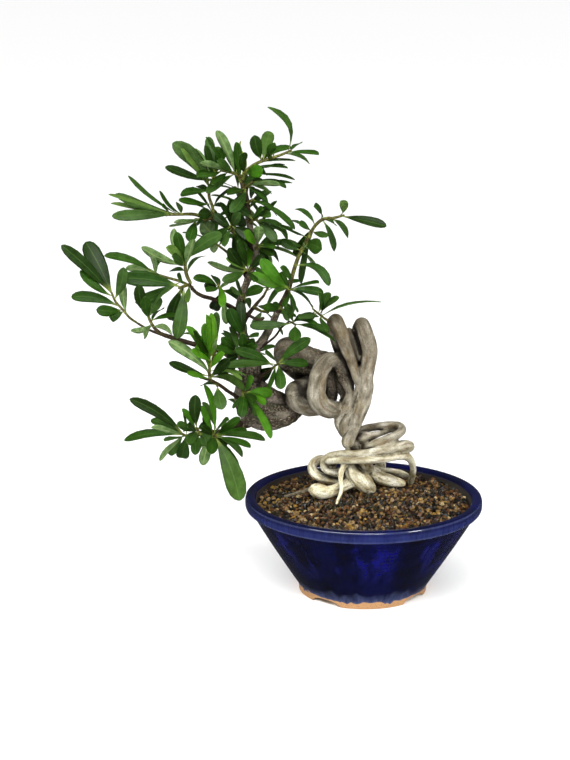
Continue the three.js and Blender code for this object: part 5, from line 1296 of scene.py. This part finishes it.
@dataclass
class GlazedPot:
    """The wheel-thrown bowl pot, on a foot ring cut into four feet by low arches. Sizes in mm."""

    foot_radius: float = 47.0
    foot_inner_radius: float = 39.5
    foot_height: float = 5.0
    foot_edge: tuple = ((46.2, 0), (46.7, 0.4))
    foot_wall: tuple[float, float] = (46.75, 0.9)
    foot_flare: tuple[float, float] = (0.05, 0.9)
    neck: tuple[float, float] = (82.1, 61.2)
    lip: tuple = (
        (82.6, 61.6), (83.6, 61.9), (84.8, 62.3), (85.5, 63.0), (85.9, 64.2), (86.0, 65.6),
        (86.0, 67.2), (85.9, 68.6), (85.5, 69.8), (84.9, 70.5), (84.0, 70.9), (82.9, 71.0),
        (81.6, 70.95), (80.4, 70.8), (79.4, 70.4), (78.7, 69.8), (78.35, 68.9), (78.1, 67.4),
        (77.8, 65.8),
    )
    inside_top: tuple[float, float] = (77.4, 64.0)
    inside_fall: tuple[float, float] = (34.9, 51.0)
    inside_steps: int = 12
    floor: tuple = ((41.6, 11.6), (40, 10.6), (36, 10.5), (24, 10.5), (13, 10.5), (12.4, 10.3))
    hole: tuple = ((12, 9.8), (12, 6.6), (12.5, 6.1), (14, 6), (24, 6), (36, 6))
    arches: int = 4
    arch_half_width: float = 12.0
    arch_height: float = 4.0
    first_arch: float = math.radians(-128)
    bulge: float = 0.5
    ridge: float = 0.1
    ridge_pitch: float = 3.1
    ridge_wander: tuple = ((0.8, 0.21, 0.0), (0.5, 0.47, 1.0))
    ridge_fades: tuple[float, float] = (6, 8)
    wall_steps: int = 60
    steps: int = 216
    pattern_radius: float = 70.0
    edge_break_and_highlight: float = 0.45
    top_edge: tuple[float, float, float] = (85.2, 68.6, 71.0)
    under_edge: tuple[float, float, float] = (84.5, 61.5, 63.2)
    mouth_radius: float = 78.2
    sway: float = 0.0022
    sharp: float = math.radians(48)

    def wall(self) -> list[tuple[float, float]]:
        """Samples the outer wall from the foot to the neck, with its throwing ridges.

        Returns:
            The wall as (radius, height).
        """
        rows = []
        for step in range(self.wall_steps + 1):
            share = step / self.wall_steps
            height = self.foot_height + share * (self.neck[1] - self.foot_height)
            radius = self.foot_radius + share * (self.neck[0] - self.foot_radius)
            bulge = self.bulge * math.sin(math.pi * share)
            wander = sum(far * math.sin(height * rate + on) for far, rate, on in self.ridge_wander)
            ridges = self.ridge * math.sin(math.tau * height / self.ridge_pitch + wander)
            fade = min(1.0, self.ridge_fades[0] * share, self.ridge_fades[1] * (1 - share))
            rows.append((radius + bulge + ridges * fade, height))
        return rows

    def profile(self) -> list[tuple[float, float]]:
        """Gives the whole outline, up the outside and down the inside.

        Returns:
            The closed outline as (radius, height).
        """
        inner = self.foot_inner_radius
        foot = [(inner, 0.4), (inner + 0.5, 0), *self.foot_edge]
        for step in range(5):
            foot.append([at + by * step for at, by in zip(self.foot_wall, self.foot_flare)])
        inside = []
        for step in range(self.inside_steps + 1):
            pairs = zip(self.inside_top, self.inside_fall)
            inside.append([at - by * step / self.inside_steps for at, by in pairs])
        under = [(inner - 0.6, 6), (inner, 5.2), (inner, 3.6), (inner, 2)]
        return [*foot, *self.wall(), *self.lip, *inside, *self.floor, *self.hole, *under]

    def arch(self, x: float, y: float) -> float:
        """Gives the height of the foot's underside at a place round it.

        Args:
            x: The place, from the axis.
            y: The same.

        Returns:
            The height over the table.
        """
        highest = 0.0
        for index in range(self.arches):
            turn = self.first_arch + index * math.tau / self.arches
            out = x * math.cos(turn) + y * math.sin(turn)
            aside = abs(-x * math.sin(turn) + y * math.cos(turn)) / self.arch_half_width
            if out > 0 and aside < 1:
                highest = max(highest, self.arch_height * math.sqrt(1 - aside * aside))
        return highest

    def mark(self, bm: bmesh.types.BMesh) -> None:
        """Notes on each corner its place on the unrolled wall, and if it is an edge or inside.

        Args:
            bm: The pot.
        """
        wall = bm.verts.layers.float_vector.new("wall")
        edge = bm.verts.layers.float.new("edge")
        inner = bm.verts.layers.float.new("inner")
        bm.normal_update()
        for vert in bm.verts:
            x, y, z = vert.co
            around = math.atan2(y, x)
            radius = math.hypot(x, y)
            flat = (self.pattern_radius * math.cos(around), self.pattern_radius * math.sin(around))
            vert[wall] = Vector((*flat, z))
            bands = (self.top_edge, self.under_edge)
            on_edge = any(radius > out and low < z < high for out, low, high in bands)
            # The edge bands are where the glaze breaks paler, which also stands in for part of
            # their highlight: painted highlight.
            vert[edge] = self.edge_break_and_highlight if on_edge else 0.0
            inward = vert.normal.x * x + vert.normal.y * y < 0
            vert[inner] = float(inward and radius < self.mouth_radius and z > self.foot_height + 3)

    def build(self, bench: Workbench) -> None:
        """Args:
            bench: Where it goes.
        """
        bm = turned(self.profile(), self.steps)
        self.mark(bm)
        for vert in bm.verts:
            around = math.atan2(vert.co.y, vert.co.x)
            radius = math.hypot(vert.co.x, vert.co.y)
            if radius > self.foot_inner_radius - 0.3 and vert.co.z < self.foot_height + 0.1:
                lowest = self.arch(vert.co.x, vert.co.y)
                vert.co.z = lowest + vert.co.z * (1 - lowest / (self.foot_height + 0.2))
            if radius > self.foot_radius + 3:
                spot = Vector((math.cos(around), math.sin(around), vert.co.z * 0.02))
                vert.co.xy *= 1 + self.sway * noise.noise(spot * 1.3)
        shade_smooth(bm)
        for ridge in bm.edges:
            ridge.smooth = ridge.calc_face_angle(0.0) <= self.sharp
        bench.publish(bm, "bowl_pot", [CobaltGlaze().material()], ["pot"])


@dataclass
class GrittySoil:
    """The low mound of soil and its angular grains. Sizes in mm."""

    mound: tuple = ((0.0, 72.5), (22.0, 71.6), (48.0, 68.7), (77.1, 66.0))
    below: tuple = ((77.0, 64.0), (42.2, 13.2), (39.9, 10.8), (27, 10.8), (27, 14.4), (0, 14.4))
    sunk: float = 1.6
    sides: int = 64
    # The mound under the grains takes this tone, the darkest grain colour, nearly black: painted
    # shade in the gaps between grains.
    shade: float = 0.02
    rows: int = 32
    columns: int = 30
    pitch: float = 2.75
    row_share: float = 0.866
    jitter: float = 0.8
    reach: float = 75.4
    bedded: tuple[float, float] = (-1.5, -0.2)
    loose: int = 420
    loose_reach: float = 74.5
    lying: tuple[float, float] = (0.1, 0.7)
    sizes: tuple[float, float] = (1.1, 2.15)
    large_share: float = 0.05
    large_scale: float = 1.3
    squash: tuple[tuple[float, float], ...] = ((0.7, 1.1), (0.75, 1.15), (0.55, 0.9))
    dent: float = 0.2
    batch: int = 60
    seed: int = 11

    def height(self, radius: float) -> float:
        """Gives the mound's height at a distance from the axis.

        Args:
            radius: The distance.

        Returns:
            The height over the table.
        """
        for (near, high), (far, low) in zip(self.mound, self.mound[1:]):
            if radius <= far:
                return high + (low - high) * (radius - near) / (far - near)
        return self.mound[-1][1]

    def places(self, rng: random.Random) -> list[tuple[float, float, float]]:
        """Sets out the grains: a jittered six-sided grid, and loose grains on top.

        Args:
            rng: The source of chance.

        Returns:
            Each grain's x, y and how far its middle stands over the mound.
        """
        spots = []
        for row in range(-self.rows, self.rows + 1):
            for column in range(-self.columns, self.columns + 1):
                x = (column + 0.5 * (row % 2)) * self.pitch + rng.uniform(-self.jitter, self.jitter)
                y = row * self.pitch * self.row_share + rng.uniform(-self.jitter, self.jitter)
                if math.hypot(x, y) < self.reach:
                    spots.append((x, y, rng.uniform(*self.bedded)))
        for _ in range(self.loose):
            turn, out = rng.uniform(0, math.tau), self.loose_reach * math.sqrt(rng.random())
            spots.append((out * math.cos(turn), out * math.sin(turn), rng.uniform(*self.lying)))
        return spots

    def grains(self, spots: list[tuple[float, float, float]], rng: random.Random) -> bpy.types.Mesh:
        """Makes some of the grains.

        Args:
            spots: Each grain's x, y and how far its middle stands over the mound.
            rng: The source of chance.

        Returns:
            The grains in one mesh, each with its tone.
        """
        bm = bmesh.new()
        tone = bm.verts.layers.float.new("tone")
        for x, y, over in spots:
            size = rng.uniform(*self.sizes)
            if rng.random() < self.large_share:
                size *= self.large_scale
            centre = Matrix.Translation((x, y, self.height(math.hypot(x, y)) + over))
            turn = Matrix.Rotation(rng.uniform(0, math.tau), 4, "Z")
            tilt = Matrix.Rotation(rng.uniform(0, 3), 4, "X")
            squash = Matrix.Diagonal([rng.uniform(*span) for span in self.squash] + [1])
            matrix = centre @ (turn @ tilt) @ squash
            grain = bmesh.ops.create_icosphere(bm, subdivisions=1, radius=size, matrix=matrix)
            colour = rng.random()
            for vert in grain["verts"]:
                vert.co += Vector([rng.uniform(-self.dent, self.dent) * size for _ in range(3)])
                vert[tone] = colour
        return as_mesh(bm, "grains")

    def build(self, bench: Workbench) -> None:
        """Args:
            bench: Where they go.
        """
        edge = self.below[0][0]
        top = [(min(radius, edge), height - self.sunk) for radius, height in self.mound]
        bm = turned([*top, *self.below], self.sides)
        tone = bm.verts.layers.float.new("tone")
        # The mound shows only between the grains, nearly black as painted shade.
        for vert in bm.verts:
            vert[tone] = self.shade
        rng = random.Random(self.seed)
        spots = self.places(rng)
        for first in range(0, len(spots), self.batch):
            take_in(bm, self.grains(spots[first : first + self.batch], rng))
        bench.publish(bm, "gritty_soil", [Grit().material()], ["soil"])


@dataclass
class KnottedTree:
    """The bared roots, the trunk and the branches as one skin, and the twigs. Sizes in mm.

    A place's painted shade starts where the wood closes it in by closed_from, and is full
    closed_span further; where another strand is closer than touching, the dark joint and its
    shade start sooner, from closed_least on. A rate says how often a pattern of the bark
    repeats, per mm, (across, along) the strand.
    """

    voxel: float = 0.8
    thinnest_fused: float = 2.2
    thinnest: float = 0.8
    overlap: int = 5
    sides: int = 16
    twig_sides: int = 10
    softness: float = 0.5
    neighbours: int = 24
    feelers: int = 10
    feeler_lean: float = 0.95
    shelter_reach: float = 20.0
    closed_from: float = 0.12
    closed_span: float = 0.38
    closed_least: float = 0.08
    touching: float = 2.4
    touching_power: float = 1.3
    alone: float = 9.0
    darkest: float = 0.92
    pattern_gap: float = 83.0
    lump_rate: float = 0.11
    lump_height: float = 0.09
    old_lumps: float = 1.6
    fibre_rates: tuple[float, float] = (0.9, 0.12)
    fibre_height: float = 0.2
    wrinkle_rates: tuple[float, float] = (0.2, 0.7)
    wrinkle_height: float = 0.12
    crack_rates: tuple[float, float] = (0.45, 0.28)
    crack_height: float = 0.9
    crack_top: float = 0.35
    plate_rate: float = 0.3
    plate_height: float = 0.35
    knobs: tuple = ((0.35, 0.14), (1.1, 0.08))

    def strands(self) -> tuple[list[list[Ring]], list[list[Ring]]]:
        """Sorts the strands' cross-sections into the fused skin's and the thin twigs'.

        Returns:
            The strands to fuse, and the twigs.
        """
        runs = [(rows, (0.0,)) for rows in COILED_ROOTS]
        # The dark stretch on the round loop's back leg is painted shade.
        runs[ROUND_LOOP_RUN] = (COILED_ROOTS[ROUND_LOOP_RUN], ROUND_LOOP_ROUGH_AND_SHADE)
        # The dark rough bark of the strands behind the loops is painted shade.
        runs += [(rows, (0.85,)) for rows in DARK_ROOTS_AND_SHADE_FILLS] + [*zip(TRUNK, TRUNK_ROUGHNESS_AND_SHADE)]
        fused = [Strand(rows, rough).rings() for rows, rough in runs]
        thin = []
        for rows in BRANCHES:
            rings = Strand(rows, (0.9, 0.55), (0.0, 0.35), spacing=1.2).rings()
            slim = (i for i, ring in enumerate(rings) if ring.radius < self.thinnest_fused)
            thick = next(slim, len(rings))
            if thick >= self.overlap:
                fused.append(rings[:thick])
            thin.append(rings[max(0, thick - self.overlap) :])
        return fused, thin

    def pattern(self, flow: Vector, across: float, along: float) -> float:
        """Gives the pattern of some rates at a place in the straightened strand."""
        return noise.noise(Vector((flow.x * across, flow.y * across, flow.z * along)))

    def relief(self, flow: Vector, ring: Ring) -> float:
        """Gives how far the bark stands out at a place.

        Args:
            flow: The place in the straightened strand: across, across and along, in mm.
            ring: The nearest cross-section.

        Returns:
            The height in mm, in or out.
        """
        lumps = noise.noise(flow * self.lump_rate) * self.lump_height * ring.radius
        fibres = self.pattern(flow, *self.fibre_rates) * self.fibre_height
        wrinkles = self.pattern(flow, *self.wrinkle_rates) * self.wrinkle_height
        smooth = lumps + fibres + wrinkles
        cracks = min(self.crack_top, abs(self.pattern(flow, *self.crack_rates)))
        plates = noise.fractal(flow * self.plate_rate, 0.6, 2.2, 3)
        old = lumps * self.old_lumps + self.crack_height * cracks + self.plate_height * plates
        return smooth * (1 - ring.rough) + old * ring.rough

    def closed_in(self, solid: BVHTree, vert: bmesh.types.BMVert) -> float:
        """Gives how far the neighbouring wood closes a place in, for the painted shade there.

        Args:
            solid: The whole skin.
            vert: The place.

        Returns:
            0 in the open, to 1 deep between strands.
        """
        start = vert.co + vert.normal * self.voxel
        around = vert.normal.orthogonal().normalized()
        across = vert.normal.cross(around)
        closed = 0.0
        for index in range(self.feelers):
            angle = index * GOLDEN_TURN
            lean = math.sqrt((index + 0.5) / self.feelers) * self.feeler_lean
            out = vert.normal * math.sqrt(1 - lean * lean)
            ray = out + (around * math.cos(angle) + across * math.sin(angle)) * lean
            distance = solid.ray_cast(start, ray, self.shelter_reach)[3]
            if distance is not None:
                closed += (1 - distance / self.shelter_reach) / self.feelers
        return closed

    def skin(self, fused: list[list[Ring]]) -> bmesh.types.BMesh:
        """Fuses the thick strands and gives the skin its relief and its bark attributes.

        Args:
            fused: The strands' cross-sections.

        Returns:
            The skin.
        """
        bm = bmesh.new()
        take_in(bm, remeshed(tubes(fused, self.sides), self.voxel))
        ways = {"use_axis_" + axis: True for axis in "xyz"}
        for _ in range(2):
            bmesh.ops.smooth_vert(bm, verts=bm.verts, factor=self.softness, **ways)
        bm.normal_update()
        flow_layer = bm.verts.layers.float_vector.new("flow")
        rough, crevice_dirt_and_shade, height = (
            bm.verts.layers.float.new(name) for name in ("rough", "crevice_dirt_and_shade", "height")
        )
        marks = [(ring, number) for number, rings in enumerate(fused) for ring in rings]
        tree = nearest_of([ring.centre for ring, _ in marks])
        solid = BVHTree.FromBMesh(bm)
        moves = []
        for vert in bm.verts:
            gaps: dict[int, tuple[float, int]] = {}
            for _, index, distance in tree.find_n(vert.co, self.neighbours):
                ring, number = marks[index]
                gap = distance - ring.radius
                if number not in gaps or gap < gaps[number][0]:
                    gaps[number] = (gap, index)
            ranked = sorted(gaps.values())
            ring, number = marks[ranked[0][1]]
            offset = vert.co - ring.centre
            across = ring.forward.cross(ring.side)
            along = ring.along + self.pattern_gap * number
            flow = Vector((offset.dot(ring.side), offset.dot(across), along))
            flow.z += offset.dot(ring.forward)
            spare = ranked[1][0] if len(ranked) > 1 else self.alone
            touching = clamped(1.0 - spare / self.touching) ** self.touching_power
            closed = self.closed_in(solid, vert)
            occlusion_shade = clamped((closed - self.closed_from) / self.closed_span)
            vert[flow_layer] = flow
            vert[rough] = ring.rough
            vert[height] = vert.co.z
            # Dark grime at the joints where strands touch, and painted shade where the wood closes
            # a place in.
            dirt_and_shade = max(occlusion_shade, touching * clamped(closed / self.closed_least))
            vert[crevice_dirt_and_shade] = self.darkest * dirt_and_shade
            moves.append(vert.normal * self.relief(flow, ring))
        for vert, move in zip(bm.verts, moves):
            vert.co += move
        return bm

    def twigs(self, thin: list[list[Ring]]) -> bmesh.types.BMesh:
        """Makes the thin twigs, a little knobbly, with the youth of their bark.

        Args:
            thin: The twigs' cross-sections.

        Returns:
            The twigs.
        """
        bm = bmesh.new()
        youth = bm.verts.layers.float.new("youth")
        take_in(bm, tubes(thin, self.twig_sides))
        marks = [ring for rings in thin for ring in rings]
        tree = nearest_of([ring.centre for ring in marks])
        for vert in bm.verts:
            ring = marks[tree.find(vert.co)[1]]
            vert[youth] = ring.youth
            knobs = sum(noise.noise(vert.co * rate) * height for rate, height in self.knobs)
            vert.co += (vert.co - ring.centre) * (knobs / max(self.thinnest, ring.radius))
        return bm

    def build(self, bench: Workbench) -> None:
        """Args:
            bench: Where it goes.
        """
        fused, thin = self.strands()
        for bm, name, finish in (
            (self.skin(fused), "knotted_roots_and_trunk", Bark()),
            (self.twigs(thin), "twigs", TwigBark()),
        ):
            shade_smooth(bm)
            bench.publish(bm, name, [finish.material()], ["trunk_and_roots"])


@dataclass
class LeafShape:
    """The outline and section of a blade, from its base to its tip, as shares of its size.

    Its places along the midrib, the half widths there of a broad and of a narrow pointed
    blade, its thickness in mm, of which a blade and a stalk have a share on each face, how far
    its sides fold up, and how far it may ripple and curl.
    """

    places: tuple[float, ...] = (0.0, 0.05, 0.15, 0.3, 0.46, 0.62, 0.78, 0.9, 0.97, 1.0)
    halves: tuple[float, ...] = (0.05, 0.1, 0.24, 0.58, 0.84, 0.98, 1.0, 0.8, 0.47, 0.1)
    pointed: tuple[float, ...] = (0.05, 0.12, 0.34, 0.72, 0.95, 1.0, 0.78, 0.45, 0.22, 0.06)
    bowed_from: float = 1.4
    thickness: float = 0.42
    stalk_end: float = 0.12
    blade_share: float = 0.5
    stalk_share: float = 0.8
    fold: float = 0.26
    folds: tuple[float, float] = (0.6, 1.5)
    ripples: tuple[float, float] = (0.0, 0.05)
    ripple_rate: float = 9
    curls: tuple[float, float] = (-0.02, 0.05)
    sides: int = 8
    slenderness: float = 0.25
    widest: float = 7.6
    arch: float = 0.1


@dataclass
class Blade:
    """One leaf: its base, its tip, the width seen, its bow, and the line it is seen along."""

    base: Vector
    tip: Vector
    width_seen: float
    bow: float
    sight: Vector
    tone: float

    def grow(self, bm: bmesh.types.BMesh, shape: LeafShape, rng: random.Random) -> None:
        """Adds the leaf to a piece: a flattened ball, bent along the midrib.

        Args:
            bm: The piece, with its tone layer and blade UV layer made.
            shape: The outline and section.
            rng: The source of chance.
        """
        chord = self.tip - self.base
        ahead = chord.normalized()
        flat = chord.cross(self.sight).normalized()
        seen, face_up = abs(self.width_seen), 1 if self.width_seen > 0 else -1
        width = max(seen, min(shape.slenderness * chord.length, shape.widest))
        bend = (self.base + self.tip) / 2 + flat * 2 * self.bow
        bend -= self.sight * shape.arch * chord.length
        roll = math.acos(min(1.0, seen / width))
        turn = -roll if face_up * flat.z > 0 else roll
        plane = ahead.cross(flat * math.cos(turn) + ahead.cross(flat) * math.sin(turn))
        halves = shape.pointed if abs(self.bow) > shape.bowed_from * seen else shape.halves
        fold = shape.fold * rng.uniform(*shape.folds)
        ripple, phase = rng.uniform(*shape.ripples), rng.uniform(0, math.tau)
        curl = rng.uniform(*shape.curls)
        tone = bm.verts.layers.float.get("tone")
        blade = bm.loops.layers.uv.get("blade")
        last = len(shape.places) + 1
        ball = bmesh.ops.create_uvsphere(bm, u_segments=shape.sides, v_segments=last, radius=1.0)
        marks = {}
        for vert in ball["verts"]:
            around = math.atan2(vert.co.y, vert.co.x)
            level = round((1 - math.acos(max(-1.0, min(1.0, vert.co.z))) / math.pi) * last)
            open_out = 0.0 if level in (0, last) else 1.0
            index = max(0, min(last - 2, level - 1))
            along = shape.places[index]
            half = open_out * halves[index] * width / 2
            middle = self.base * (1 - along) ** 2 + bend * 2 * along * (1 - along)
            middle += self.tip * along**2
            tangent = (bend - self.base) * (1 - along) + (self.tip - bend) * along
            tangent.normalize()
            across = plane.cross(tangent).normalized() * face_up
            reach = open_out * math.cos(around)
            wave = math.sin(along * shape.ripple_rate + phase)
            lift = abs(reach) * half * fold + ripple * width * abs(reach) * wave
            lift -= curl * chord.length * (2 * along - 1) ** 2 * 0.5
            share = shape.blade_share if along > shape.stalk_end else shape.stalk_share
            lift += shape.thickness * share * open_out * math.sin(around)
            vert.co = middle + across * (half * reach) + tangent.cross(across) * lift
            vert[tone] = self.tone
            marks[vert] = (math.sin(around) * open_out, (0.5 + 0.5 * reach, along))
        for face in {face for vert in ball["verts"] for face in vert.link_faces}:
            face.smooth = True
            face.material_index = 1 if sum(marks[vert][0] for vert in face.verts) > 0 else 2
            for loop in face.loops:
                loop[blade].uv = marks[loop.vert][1]


@dataclass
class Foliage:
    """All the leafy shoots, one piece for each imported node. Sizes in mm.

    A leaf may sit at any of the base tries along its stem and at any of the depth tries
    behind or before its natural lean; a back leaf, at any of the turn tries round its stem.
    """

    shape: LeafShape = field(default_factory=LeafShape)
    spacing: float = 1.1
    places: int = 5
    base_tries: tuple[float, ...] = (0, 0.15, -0.15, 0.3, -0.3)
    aside: float = 0.5
    lowest: float = 0.12
    highest: float = 0.97
    depth_tries: tuple[float, ...] = (0, 5, -5, 10, -10, 15, -15, 21, -21, 27, -27, 34, -34)
    turn_tries: tuple[float, ...] = (0, 0.4, -0.4, 0.8, -0.8, 1.2, -1.2)
    slant: float = 1.04
    length: float = 24.0
    longer: float = 6.0
    back_count: int = 5
    back_from: float = 0.45
    back_over: float = 0.5
    back_spread: float = 1.05
    back_length: float = 27.0
    back_shorter: float = 7.0
    back_width: float = 6.4
    stem_youth: tuple[float, float] = (0.45, 0.3)
    tone_drift: tuple[float, float] = (-0.06, 0.08)
    stem_sides: int = 8
    seed: int = 5

    def front_choices(self, path: Path, leaf: tuple, index: int) -> list[Choice]:
        """Lists where a front leaf may be.

        Args:
            path: The shoot's stem.
            leaf: The leaf's row in the shoot.
            index: The row's number.

        Returns:
            Each choice's base, tip and line of sight.
        """
        at, across, up = leaf[:3]
        made = []
        varied = index * GOLDEN_SHARE % 1
        step = self.spacing / path.length()
        for higher in self.base_tries:
            start = at - step * (index % self.places) + higher
            start = min(self.highest, max(self.lowest, start))
            base = path.at(start)
            tangent = path.tangent(start)
            aside = (place(across, up, base.y) - base).normalized()
            base += (aside - tangent * aside.dot(tangent)) * self.aside
            drawn = (place(across, up, base.y) - base).length
            natural = max(drawn * self.slant, self.length + self.longer * varied)
            lean = math.sqrt(natural**2 - drawn**2) * (1 if index % 2 else -1)
            for further in self.depth_tries:
                tip = place(across, up, base.y + lean + further)
                made.append((base, tip, ((tip + base) / 2 - EYE).normalized()))
        return made

    def back_choices(self, path: Path, index: int) -> list[Choice]:
        """Lists where a back leaf may be.

        Args:
            path: The shoot's stem.
            index: The leaf's number.

        Returns:
            Each choice's base, tip and line of sight.
        """
        axis = path.tangent(1)
        first = axis.cross(UP).normalized()
        second = axis.cross(first)
        base = path.at(self.back_from + self.back_over * index / (self.back_count - 1))
        length = self.back_length - self.back_shorter * (index * GOLDEN_SHARE % 1)
        made = []
        for turn in self.turn_tries:
            around = index * GOLDEN_TURN + turn
            out = first * math.cos(around) + second * math.sin(around)
            out = axis * math.cos(self.back_spread) + out * math.sin(self.back_spread)
            made.append((base, base + out * length, -UP))
        return made

    def shoot(
        self,
        bench: Workbench,
        name: str,
        shoot: Shoot,
        skins: list[bpy.types.Material],
        rng: random.Random,
    ) -> None:
        """Args:
            bench: Where it goes.
            name: The shoot's name in the part.
            shoot: Its stem, and its leaves unless it is at the back.
            skins: The stem's, upper face's and underside's materials.
            rng: The source of chance.
        """
        node = "shoot_" + name
        corners = bench.corners(node)
        path = Path([place(*row[:3]) for row in shoot.stem])
        bm = bmesh.new()
        youth = bm.verts.layers.float.new("youth")
        bm.verts.layers.float.new("tone")
        bm.loops.layers.uv.new("blade")
        take_in(bm, tubes([Strand(shoot.stem, spacing=1.2).rings()], self.stem_sides))
        for vert in bm.verts:
            vert[youth] = self.stem_youth[0] + self.stem_youth[1] * rng.random()
        shade_smooth(bm)
        for index in range(len(shoot.leaves) or self.back_count):
            if shoot.leaves:
                leaf = shoot.leaves[index]
                choices = self.front_choices(path, leaf, index)
                width, bow, tone = (*leaf[3:], Tone.DEEP)[:3]
            else:
                choices = self.back_choices(path, index)
                width, bow, tone = self.back_width, 0, Tone.DEEP
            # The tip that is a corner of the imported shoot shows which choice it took.
            found = min(choices, key=lambda choice: round(corners.find(choice[1])[2], 2))
            shade = tone.value + rng.uniform(*self.tone_drift)
            Blade(*found[:2], width, bow, found[2], shade).grow(bm, self.shape, rng)
        bench.publish(bm, "leafy_" + node, skins, [node])

    def build(self, bench: Workbench) -> None:
        """Builds every shoot.

        Args:
            bench: Where they go.
        """
        finishes = (TwigBark(name="green_shoot_bark"), LeafTop(), LeafUnder())
        skins = [finish.material() for finish in finishes]
        rng = random.Random(self.seed)
        back = {name: Shoot(stem) for name, stem in BACK_STEMS.items()}
        for name, shoot in {**SHOOTS, **back}.items():
            self.shoot(bench, name, shoot, skins, rng)


@dataclass(frozen=True)
class Lamp:
    """A soft rectangular light over the table, in metres from the pot's axis, and in watts."""

    name: str
    where: tuple[float, float, float]
    size: tuple[float, float]
    watts: float
    aim: tuple[float, float, float] = (-0.06, 0.0, 0.15)
    mirrored: bool = True

    def hang(self, axis: Vector) -> None:
        """Hangs the light.

        Args:
            axis: The pot's axis at the table.
        """
        light = bpy.data.lights.new(self.name, "AREA")
        light.energy = self.watts
        light.shape = "RECTANGLE"
        light.size, light.size_y = self.size
        holder = linked(self.name, light)
        holder.location = axis + Vector(self.where)
        sight = axis + Vector(self.aim) - holder.location
        holder.rotation_euler = sight.to_track_quat("-Z", "Y").to_euler()
        holder.visible_glossy = self.mirrored


@dataclass
class Studio:
    """The plain pale floor, the soft lights and the camera. Sizes in metres."""

    lamps: tuple[Lamp, ...] = (
        Lamp("key", (-0.45, -1.25, 1.3), (2.2, 0.22), 38),
        Lamp("side", (1.15, -0.95, 1.0), (0.35, 0.35), 10),
        Lamp("ceiling", (0, 0, 6.0), (60.0, 60.0), 11500, aim=(0, 0, 0), mirrored=False),
    )
    floor_size: float = 60.0
    wall_radius: float = 15.0
    wall_sides: int = 96
    wall_glow: float = 1.0
    world: float = 0.06
    view_end: float = 100.0

    def backdrop(self, name: str, bm: bmesh.types.BMesh, glow: float) -> bpy.types.Object:
        """Sets up a piece of the studio.

        Args:
            name: Its name.
            bm: Its shape in metres. It is freed.
            glow: How bright it shines by itself.

        Returns:
            The piece, which shows in no reflection.
        """
        holder = linked(name, as_mesh(bm, name))
        holder.data.materials.append(WhitePaper(name + "_white_paper", glow).material())
        holder.visible_glossy = False
        return holder

    def surroundings(self) -> None:
        """Lays the floor and stands the wall round it."""
        bm = bmesh.new()
        bmesh.ops.create_grid(bm, x_segments=1, y_segments=1, size=self.floor_size / 2)
        self.backdrop("studio_floor", bm, 0.0)
        bm = bmesh.new()
        radii = {"radius1": self.wall_radius, "radius2": self.wall_radius}
        bmesh.ops.create_cone(bm, segments=self.wall_sides, depth=self.floor_size, **radii)
        wall = self.backdrop("studio_wall", bm, self.wall_glow)
        wall.visible_shadow = False
        wall.visible_diffuse = False

    def build(self, axis: Vector) -> None:
        """Sets the whole studio up round the pot's axis.

        Args:
            axis: The axis at the table.
        """
        self.surroundings()
        for lamp in self.lamps:
            lamp.hang(axis)
        world = bpy.data.worlds.new("studio_white")
        world.use_nodes = True
        sky = world.node_tree.nodes["Background"].inputs
        sky["Strength"].default_value = self.world
        sky["Color"].default_value = (1, 1, 1, 1)
        scene = bpy.context.scene
        scene.world = world
        scene.view_settings.view_transform = "Standard"
        scene.view_settings.look = "None"
        camera = bpy.data.cameras.new("photo_camera")
        camera.lens = LENS
        camera.sensor_width = SENSOR
        camera.clip_end = self.view_end
        scene.camera = linked("photo_camera", camera)
        scene.camera.location = axis + EYE * MM
        scene.camera.rotation_euler = (math.pi / 2 - CAMERA_PITCH, 0, 0)


def carry_over(node: str, material: bpy.types.Material) -> None:
    """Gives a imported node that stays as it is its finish.

    Args:
        node: The node's name.
        material: Its material.
    """
    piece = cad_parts[node]
    if not piece.data.materials:
        piece.data.materials.append(None)
    for holder in piece.material_slots:
        holder.link = "OBJECT"
        holder.material = material
    LOG.info("%s: kept, in %s", node, material.name)


def main() -> None:
    """Builds the studio and every piece of the bonsai, in order."""
    logging.basicConfig(level=logging.INFO, format="%(name)s: %(message)s")
    low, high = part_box("pot")
    axis = Vector(((low.x + high.x) / 2, (low.y + high.y) / 2, low.z))
    LOG.info("pot axis at %.4f %.4f %.4f", *axis)
    bench = Workbench(axis)
    Studio().build(axis)
    for part in (GlazedPot(), GrittySoil(), KnottedTree(), Foliage()):
        part.build(bench)
    carry_over("drainage_mesh", MeshPlastic().material())
    carry_over("mesh_clip_wire", BonsaiWire().material())
    LOG.info("%d pieces built", len(bench.made))


if __name__ == "__main__":
    main()
